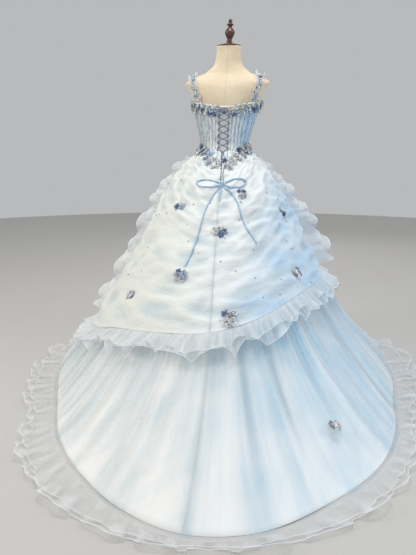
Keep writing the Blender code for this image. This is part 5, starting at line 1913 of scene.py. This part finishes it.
@dataclass
class FlowerTrims:
    """The bands of organza flowers on the bodice's top edge and on its pointed lower edge."""

    room: Workroom
    bands: tuple[Band, ...] = (Band("top_flowers_", "top", 15.0, 0.0175, 0.0135, 0.0158, 81),
                               Band("basque_flowers_", "bottom", 5.5, -0.014, 0.0170, 0.0155, 91))
    end: float = 179.0
    count: int = 44
    bead_size: float = 0.0022
    bead_rise: float = 0.004
    bead_step: float = 0.011

    def seats(self, band: Band, direction: int) -> list[Seat]:
        """Scatter seats evenly along a band on one half of the bodice.

        Args:
            band: the band.
            direction: 1 for the right half and -1 for the left one.

        Returns:
            The seats.
        """
        rng = np.random.default_rng(band.seed + direction)
        start, end = direction * band.start, direction * self.end
        seats = []
        for number in range(self.count):
            azimuth = start + (end - start) * (number + rng.uniform(-0.35, 0.35)) / (self.count - 1)
            row = (number % 3 - 1) * band.spread + rng.uniform(-0.25, 0.25) * band.spread
            z = float(FORM.bodice_edge(azimuth, band.edge)) - band.offset - row
            radius = band.size * rng.uniform(0.75, 1.25)
            point = FORM.bodice_point(azimuth, z, 0.0030 + rng.uniform(0, 0.0030))
            away = unit(FORM.bodice_point(azimuth, z, 0.02) - point)
            away = away + np.array([rng.uniform(-0.25, 0.25), rng.uniform(-0.15, 0.15),
                                    rng.uniform(-0.1, 0.35)])
            seats.append(Seat(point, unit(away), radius, rng.uniform(0, 6.28), rng.uniform(0, 1)))
        return seats

    def build(self) -> None:
        """Sew both bands on each half of the bodice."""
        room = self.room
        for side, direction in (("right", 1), ("left", -1)):
            for band in self.bands:
                name, seats = band.name, self.seats(band, direction)
                room.sow(name + "roses_" + side, seats[::3], room.rose, Finish.PETALS, "blossom",
                         name + side)
                room.sow(name + "daisies_" + side, seats[1::3], room.daisy, Finish.PETALS, "blossom")
                room.sow(name + "sprays_" + side, seats[2::3], room.spray, Finish.PETALS, "blossom")
                beads = []
                for number, seat in enumerate(seats):
                    step = [0, 0, self.bead_step if number % 2 else -self.bead_step]
                    point = seat.point + np.array(seat.aim) * self.bead_rise + np.array(step)
                    beads.append(Seat(point, seat.aim, self.bead_size))
                room.sow(name + "beads_" + side, beads, room.bead, Finish.BEADS, "trim")


class Bloom(NamedTuple):
    """A flower on the skirt: its solid's node, azimuth, height and radius."""

    node: str
    azimuth: float
    z: float
    radius: float


@dataclass
class Blossoms:
    """The big flowers on the overskirt and the train, and the small beads scattered between them."""

    room: Workroom
    cover: BVHTree
    tulle: BVHTree
    blooms: tuple[Bloom, ...] = (
        Bloom("flower_bow", 22.6, 0.915, 0.020), Bloom("flower_upper_left", -34.3, 0.858, 0.020),
        Bloom("flower_upper_right", 60.9, 0.826, 0.019), Bloom("flower_middle", 2.3, 0.760, 0.026),
        Bloom("flower_tail", -17.0, 0.585, 0.024), Bloom("flower_right", 47.8, 0.574, 0.024),
        Bloom("flower_left", -44.5, 0.468, 0.022), Bloom("flower_hem", 7.2, 0.440, 0.030),
        Bloom("flower_train", 30.1, 0.120, 0.024))
    rose_size: float = 0.95
    spray_size: float = 0.62
    rose_reach: float = 0.68
    tints: tuple[float, ...] = (0.05, 0.30, 0.52)
    cluster_beads: int = 9
    loose_beads: int = 44
    bead_size: float = 0.0026

    def seat(self, surface: BVHTree, azimuth: float, z: float) -> tuple[Vector, Vector]:
        """Where a flower lies on a skirt, and which way it faces."""
        start = Vector(FORM.place(azimuth, 2.0, z))
        return meet(surface, start, Vector((0, 0, z)) - start)

    def cluster(self, bloom: Bloom, number: int) -> None:
        """Make one big flower: roses with smaller sprays and beads tucked into them.

        Args:
            bloom: the flower.
            number: its place in the table, which its own random numbers start from.
        """
        rng = np.random.default_rng(100 + number)
        surface = self.tulle if bloom.node == "flower_train" else self.cover
        centre, aim = self.seat(surface, bloom.azimuth, bloom.z)
        across = Vector((0, 0, 1)).cross(aim).normalized()
        up = aim.cross(across)
        roses, sprays, beads = [], [], []
        for index, tint in enumerate(self.tints):
            turn = rng.uniform(0, 6.28) + index * 2.1
            arm = (across * math.cos(turn) + up * math.sin(turn)) * bloom.radius * self.rose_reach
            foot, face = meet(surface, centre + arm + aim * 0.08, -aim)
            roses.append(Seat(foot + face * 0.0004, face + arm * 14, bloom.radius * self.rose_size, turn,
                              tint + rng.uniform(-0.04, 0.10)))
            foot, face = meet(surface, centre - arm * 1.1 + aim * 0.08, -aim)
            sprays.append(Seat(foot + face * 0.0002, face - arm * 10, bloom.radius * self.spray_size, turn,
                               0.66 + 0.05 * index))
        for _ in range(self.cluster_beads):
            turn, reach = rng.uniform(0, 6.28), rng.uniform(0.2, 1.05) * bloom.radius
            arm = (across * math.cos(turn) + up * math.sin(turn)) * reach
            foot, face = meet(surface, centre + arm + aim * 0.08, -aim)
            beads.append(Seat(foot + face * rng.uniform(0.001, 0.007), face, self.bead_size * 0.9))
        room, node = self.room, bloom.node
        room.sow(node + "_petals", roses, room.rose, Finish.PETALS, "blossom", node)
        room.sow(node + "_spray", sprays, room.spray, Finish.PETALS, "blossom")
        room.sow(node + "_beads", beads, room.bead, Finish.BEADS, "trim")

    def scatter(self) -> None:
        """Small beads scattered over the overskirt."""
        rng = np.random.default_rng(131)
        seats = []
        for _ in range(self.loose_beads):
            azimuth, z = rng.uniform(-78, 78), rng.uniform(0.50, 0.99)
            foot, aim = self.seat(self.cover, azimuth, z)
            size = self.bead_size * rng.uniform(0.7, 1.15)
            seats.append(Seat(foot + aim * self.bead_size * 0.5, aim, size))
        self.room.sow("scattered_beads", seats, self.room.bead, Finish.BEADS, "trim")

    def build(self) -> None:
        """Set all flowers and beads."""
        for number, bloom in enumerate(self.blooms):
            self.cluster(bloom, number)
        self.scatter()


# ---- straps
class Run(NamedTuple):
    """A strap's side, its middle at the bodice and its middle on top of the shoulder."""

    side: str
    low: float
    high: float


@dataclass
class Straps:
    """Two gathered organza straps over the shoulders, with small flowers and beads on them."""

    room: Workroom
    skin: BVHTree
    runs: tuple[Run, ...] = (Run("left", -0.118, -0.150), Run("right", 0.140, 0.168))
    hub_z: float = 1.365
    sweep: tuple[float, float] = (-28.0, 181.0)
    half_width: float = 0.0135
    seat: float = 0.0022
    end_rise: float = 0.007
    stations: int = 170
    lines: int = 9
    waves: int = 9
    rise: float = 0.0085
    puff_rise: float = 0.013
    hem_radius: float = 0.0007
    cord_radius: float = 0.0016
    cord_rise: float = 0.0012
    flower_size: float = 0.0105
    bead_size: float = 0.0019

    def grid(self, run: Run, side: Grid) -> tuple[Grid, Grid]:
        """Points over the shoulder, and the direction off the form at each.

        Args:
            run: the strap.
            side: the lines across it, from -1 to 1.

        Returns:
            The points and directions.
        """
        share = np.linspace(0, 1, self.stations)
        turn = np.radians(self.sweep[0] + (self.sweep[1] - self.sweep[0]) * share)
        middle = run.low + (run.high - run.low) * np.sin(np.pi * share)
        away = np.stack([np.zeros_like(turn), -np.cos(turn), np.sin(turn)], axis=-1)
        top = hump(share, 0.50, 0.10)
        ends = self.end_rise * (1 - smooth_step(0.0, 0.16, np.minimum(share, 1 - share)))
        points = np.empty((len(side), self.stations, 3))
        for line, across in enumerate(side):
            phase = 2 * np.pi * self.waves * share + 2.2 * across + 0.6 * np.sin(share * 23)
            wave = 0.5 + 0.5 * np.sin(phase)
            rise = self.rise * (0.2 + 0.8 * wave) + self.puff_rise * top * (0.8 + 0.3 * wave)
            height = self.seat + ends + across**2 * rise
            wide = self.half_width * across * (1 + 0.45 * top + 0.18 * np.sin(share * 61 + 3 * across))
            for s in range(self.stations):
                hub = Vector((middle[s] + wide[s], 0, self.hub_z))
                out = Vector(away[s])
                foot, _ = meet(self.skin, hub + out * 0.3, -out)
                points[line, s] = foot + out * height[s]
        return points, away

    def build(self) -> None:
        """Make both straps."""
        side = np.linspace(-1, 1, self.lines)
        for number, run in enumerate(self.runs):
            points, away = self.grid(run, side)
            self.room.sew("strap_band_" + run.side, points, Finish.FLOUNCE, "trim", ["strap_" + run.side],
                          "stretched", "form_torso", ply=0.35 + 0.45 * np.abs(side)[:, None] ** 4,
                          round=np.linspace(0, 60, self.stations))
            self.room.tube("strap_hem_" + run.side, [points[0], points[-1]], self.hem_radius,
                           Finish.HEMMING, "trim", sides=5)
            middle = points[self.lines // 2] + away * self.cord_rise
            self.room.tube("strap_cord_" + run.side, [middle[3:-3]], self.cord_radius, Finish.CORD, "trim")
            self.sew_on(run, points, away, number)

    def sew_on(self, run: Run, points: Grid, away: Grid, number: int) -> None:
        """Sew small flowers and beads along a strap.

        Args:
            run: the strap.
            points: its points.
            away: the direction off the form along it.
            number: its place in the table, which its own random numbers start from.
        """
        rng = np.random.default_rng(151 + number)
        roses, daisies, beads = [], [], []
        last = self.stations - 1
        for share in np.arange(0.03, 0.98, 0.043):
            s = int(share * last)
            point = points[int(rng.integers(2, 7)), s] + away[s] * 0.0015
            aim = away[s] + np.array([rng.uniform(-0.5, 0.5), 0, rng.uniform(-0.2, 0.3)])
            size = self.flower_size * rng.uniform(0.8, 1.2) * (1.25 if 0.40 < share < 0.60 else 1.0)
            seat = Seat(point, aim, size, rng.uniform(0, 6.28), rng.uniform(0, 0.68))
            (roses if rng.uniform() < 0.5 else daisies).append(seat)
            for _ in range(2):
                s = min(max(int(share * last + rng.integers(-4, 5)), 0), last)
                bead = points[int(rng.integers(1, 8)), s] + away[s] * rng.uniform(0.001, 0.005)
                beads.append(Seat(bead, away[s], self.bead_size * rng.uniform(0.8, 1.3)))
        room = self.room
        room.sow("strap_roses_" + run.side, roses, room.rose, Finish.PETALS, "blossom")
        room.sow("strap_daisies_" + run.side, daisies, room.daisy, Finish.PETALS, "blossom")
        room.sow("strap_beads_" + run.side, beads, room.bead, Finish.BEADS, "trim")


# ---- lacing and bow
@dataclass
class Lacing:
    """Two strands that cross between the laced edges and run down to the bow."""

    room: Workroom
    cover: BVHTree
    radius: float = 0.0016
    top_z: float = 1.284
    pitch: float = 0.0285
    crossings: int = 6
    half_width: float = 0.0245
    seat: float = 0.0046
    over: float = 0.0042
    knot_x: float = 0.010
    strand_x: float = 0.0052
    gathers_z: float = 1.020
    fan_middle: float = 1.2715
    fan_reach: float = 0.021
    fan_radius: float = 0.0008
    fan_sink: float = 0.001

    def on_bodice(self, x: float, z: float, lift: float) -> Grid:
        """A point of a strand's middle line, off the bodice's back."""
        reach = float(read_table(FORM.bodice, "back", z))
        return FORM.bodice_point(math.degrees(math.asin(x / reach)), z, self.seat + lift)

    def route(self, direction: int, over: float) -> list[Grid]:
        """Find the points that one strand runs through.

        Args:
            direction: the side that it starts on, -1 for the left and 1 for the right.
            over: how far it stands off where the strands cross.

        Returns:
            The points, from the top down to the bow.
        """
        points = []
        for k in range(self.crossings + 1):
            side = direction if k % 2 == 0 else -direction
            z = self.top_z - self.pitch * k
            points.append(self.on_bodice(side * self.half_width, z, 0.0))
            if k < self.crossings:
                points.append(self.on_bodice(0.0, z - self.pitch / 2, over))
        for z in (1.092, 1.062, 1.035, 1.002, 0.985, 0.9685):
            x = direction * self.strand_x + self.knot_x * (1.1 - z) / 0.14
            if z > self.gathers_z:
                points.append(self.on_bodice(x, z, 0.0))
            else:
                foot, aim = from_behind(self.cover, x, z)
                points.append(np.array(foot + aim * (self.radius + 0.0004)))
        return points

    def clear(self, path: Grid) -> Grid:
        """A strand's path with its stretch on the overskirt kept outside the gathers."""
        first = next(i for i, point in enumerate(path) if point[2] < self.gathers_z)
        for point in path[first:]:
            foot, aim = from_behind(self.cover, point[0], point[2])
            point[1] = min(point[1], foot.y + aim.y * (self.radius + 0.0005))
        depth = path[:, 1]
        for _ in range(4):
            depth[first:-1] = np.minimum(depth[first:-1], (depth[first - 1:-2] + depth[first + 1:]) / 2)
        return path

    def fan_point(self, turn: float, across: float, up: float) -> Grid:
        """A point in a direction from the fan's middle."""
        z = self.fan_middle + up * math.cos(turn)
        return self.on_bodice(across * math.sin(turn), z, -self.fan_sink)

    def fan(self) -> None:
        """The fan of short strands at the top of the lacing."""
        reach = np.linspace(0.0, self.fan_reach, 6)
        routes = [np.array([self.fan_point(turn, r, r * 0.95) for r in reach])
                  for turn in np.radians(np.linspace(-64, 64, 9))]
        rim = [self.fan_point(turn, 0.0215, 0.0205) for turn in np.radians(np.linspace(-66, 66, 14))]
        self.room.tube("lace_fan", routes + [np.array(rim)], self.fan_radius, Finish.LACE, "lace", sides=5)

    def build(self) -> None:
        self.fan()
        for name, direction, over in (("lace_left", -1, 0.0), ("lace_right", 1, self.over)):
            path = self.clear(smooth_route(self.route(direction, over), 6))
            self.room.cord("satin_" + name, path, self.radius, Finish.LACE, "lace", name, "knot", "taut", 8)


class Route(NamedTuple):
    """A cord of the bow: where it ends, and its points on the back as x and z."""

    name: str
    far_end: str
    points: tuple[tuple[float, float], ...]


@dataclass
class Bow:
    """The thin bow: its knot, two loops and three loose tails, lying on the overskirt."""

    room: Workroom
    cover: BVHTree
    radius: float = 0.0032
    knot: tuple[float, float] = (0.010, 0.955)
    knot_radius: float = 0.0115
    knot_cord: float = 0.0036
    routes: tuple[Route, ...] = (
        Route("loop_left", "object", ((-0.0036, 0.960), (-0.040, 0.971), (-0.085, 0.971), (-0.107, 0.958),
                                      (-0.085, 0.946), (-0.040, 0.944), (-0.0036, 0.951))),
        Route("loop_right", "object", ((0.0236, 0.960), (0.055, 0.975), (0.096, 0.978), (0.116, 0.962),
                                       (0.096, 0.945), (0.055, 0.944), (0.0236, 0.952))),
        Route("tail_left", "bare", ((0.0015, 0.943), (-0.027, 0.904), (-0.050, 0.858), (-0.064, 0.814),
                                    (-0.077, 0.757), (-0.091, 0.705), (-0.106, 0.662), (-0.127, 0.619))),
        Route("tail_right", "bare", ((0.022, 0.944), (0.048, 0.924), (0.073, 0.896), (0.093, 0.860),
                                     (0.106, 0.816), (0.126, 0.778), (0.152, 0.744), (0.175, 0.713))),
        Route("tail_short", "bare", ((0.0095, 0.940), (0.007, 0.910), (0.007, 0.883))))

    def on_back(self, x: float, z: float, lift: float) -> Vector:
        """The point at x and z on the back, lifted off the overskirt."""
        foot, aim = from_behind(self.cover, x, z)
        return foot + aim * lift

    def build(self) -> None:
        knot = self.tie_knot()
        for number, route in enumerate(self.routes):
            flat = smooth_route([(x, 0, z) for x, z in route.points], 10)
            path = np.array([self.on_back(x, z, self.radius + 0.0002) for x, _, z in flat])
            soft = path.copy()
            for _ in range(6):
                soft[1:-1] = (soft[:-2] + 2 * soft[1:-1] + soft[2:]) / 4
            path = np.where(soft[:, 1:2] < path[:, 1:2], soft, path)
            self.room.cord("satin_" + route.name, path, self.radius, Finish.CORD, "bow",
                           "bow_" + route.name, route.far_end, "loose", 10, [] if number else [knot])

    def tie_knot(self) -> Piece:
        """The knot: two turns of the cord round the middle."""
        centre = self.on_back(*self.knot, self.knot_radius * 0.55)
        turn = np.linspace(0, 2 * math.pi * 2.2, 70)
        ring = np.stack([0.0042 * np.sin(turn * 0.5) + 0.0078 * np.cos(turn) * 0.5,
                         -0.0050 * np.abs(np.sin(turn)) - 0.001, 0.0085 * np.sin(turn)], axis=-1)
        cross = np.stack([np.linspace(-0.0095, 0.0095, 24), -0.0062 * np.cos(np.linspace(-1.4, 1.4, 24)),
                          0.0030 * np.sin(np.linspace(-3, 3, 24))], axis=-1)
        return self.room.tube("bow_knot_turns", [ring + centre, cross + centre], self.knot_cord,
                              Finish.CORD, "bow", "bow_knot", sides=8)


# ---- the studio
@dataclass
class Studio:
    """A pale floor, soft light and the camera behind the gown."""

    lens: float = 35.68
    place: tuple[float, float, float] = (0.2397, -2.7395, 1.12)
    tilt: float = 76.65
    turn: float = 6.67
    floor_half: float = 7.0
    sky: float = 0.50

    def build(self) -> None:
        """Put up the floor, the lights and the camera."""
        self.lay_floor()
        self.light()
        camera = show(bpy.data.objects.new("camera", bpy.data.cameras.new("camera")))
        camera.data.lens, camera.data.sensor_width = self.lens, 36.0
        camera.data.sensor_fit = "AUTO"
        camera.location = self.place
        camera.rotation_euler = (math.radians(self.tilt), 0, math.radians(self.turn))
        bpy.context.scene.camera = camera
        bpy.context.scene.view_settings.view_transform = "Standard"

    def lay_floor(self) -> None:
        """One big pale disc under the gown."""
        turn = np.linspace(0, 2 * math.pi, 64, endpoint=False)
        rim = np.stack([np.cos(turn), np.sin(turn), np.zeros(64)], axis=-1) * self.floor_half
        rim[:, 2] = -0.0005
        new_piece("floor", new_mesh("floor", rim, [list(range(64))]), Finish.FLOOR)

    def light(self) -> None:
        """A soft sky, a big warm light on the wearer's left and a cool window light on the right."""
        world = bpy.data.worlds.new("studio")
        bpy.context.scene.world = world
        world.use_nodes = True
        sky = world.node_tree.nodes["Background"].inputs
        sky["Color"].default_value, sky["Strength"].default_value = (0.96, 0.98, 1.0, 1), self.sky
        for name, where, aim, size, power, colour in (
                ("key_left", (-3.4, -1.9, 2.6), (0, -0.2, 0.7), 1.3, 50, (1.0, 0.95, 0.88)),
                ("window_right", (3.3, -1.4, 2.6), (0, -0.2, 0.8), 1.6, 30, (0.84, 0.93, 1.0)),
                ("top", (0.1, -1.0, 4.0), (0, -0.6, 0.4), 1.2, 46, (1.0, 0.99, 0.97)),
                ("front_fill", (0.6, 3.6, 2.8), (0, 0, 0.9), 3.0, 20, (1.0, 0.98, 0.95))):
            lamp = bpy.data.lights.new(name, "AREA")
            lamp.size, lamp.energy, lamp.color = size, power, colour
            holder = show(bpy.data.objects.new(name, lamp))
            holder.location = where
            holder.rotation_euler = (Vector(aim) - Vector(where)).to_track_quat("-Z", "Y").to_euler()


def main() -> None:
    """Rebuild the gown's looks on its solids' frame."""
    logging.basicConfig(level=logging.INFO, format="%(name)s: %(message)s", stream=sys.stdout)
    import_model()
    room = Workroom()
    skin = DressForm(room).build()
    Lining(room).build()
    tulle = surface_of(TulleSkirt(room).build())
    HemRuffles(room).build()
    cover = surface_of(Overskirt(room).build())
    Bodice(room).build()
    FlowerTrims(room).build()
    Straps(room, skin).build()
    Lacing(room, cover).build()
    Bow(room, cover).build()
    Blossoms(room, cover, tulle).build()
    Studio().build()


if __name__ == "__main__":
    main()
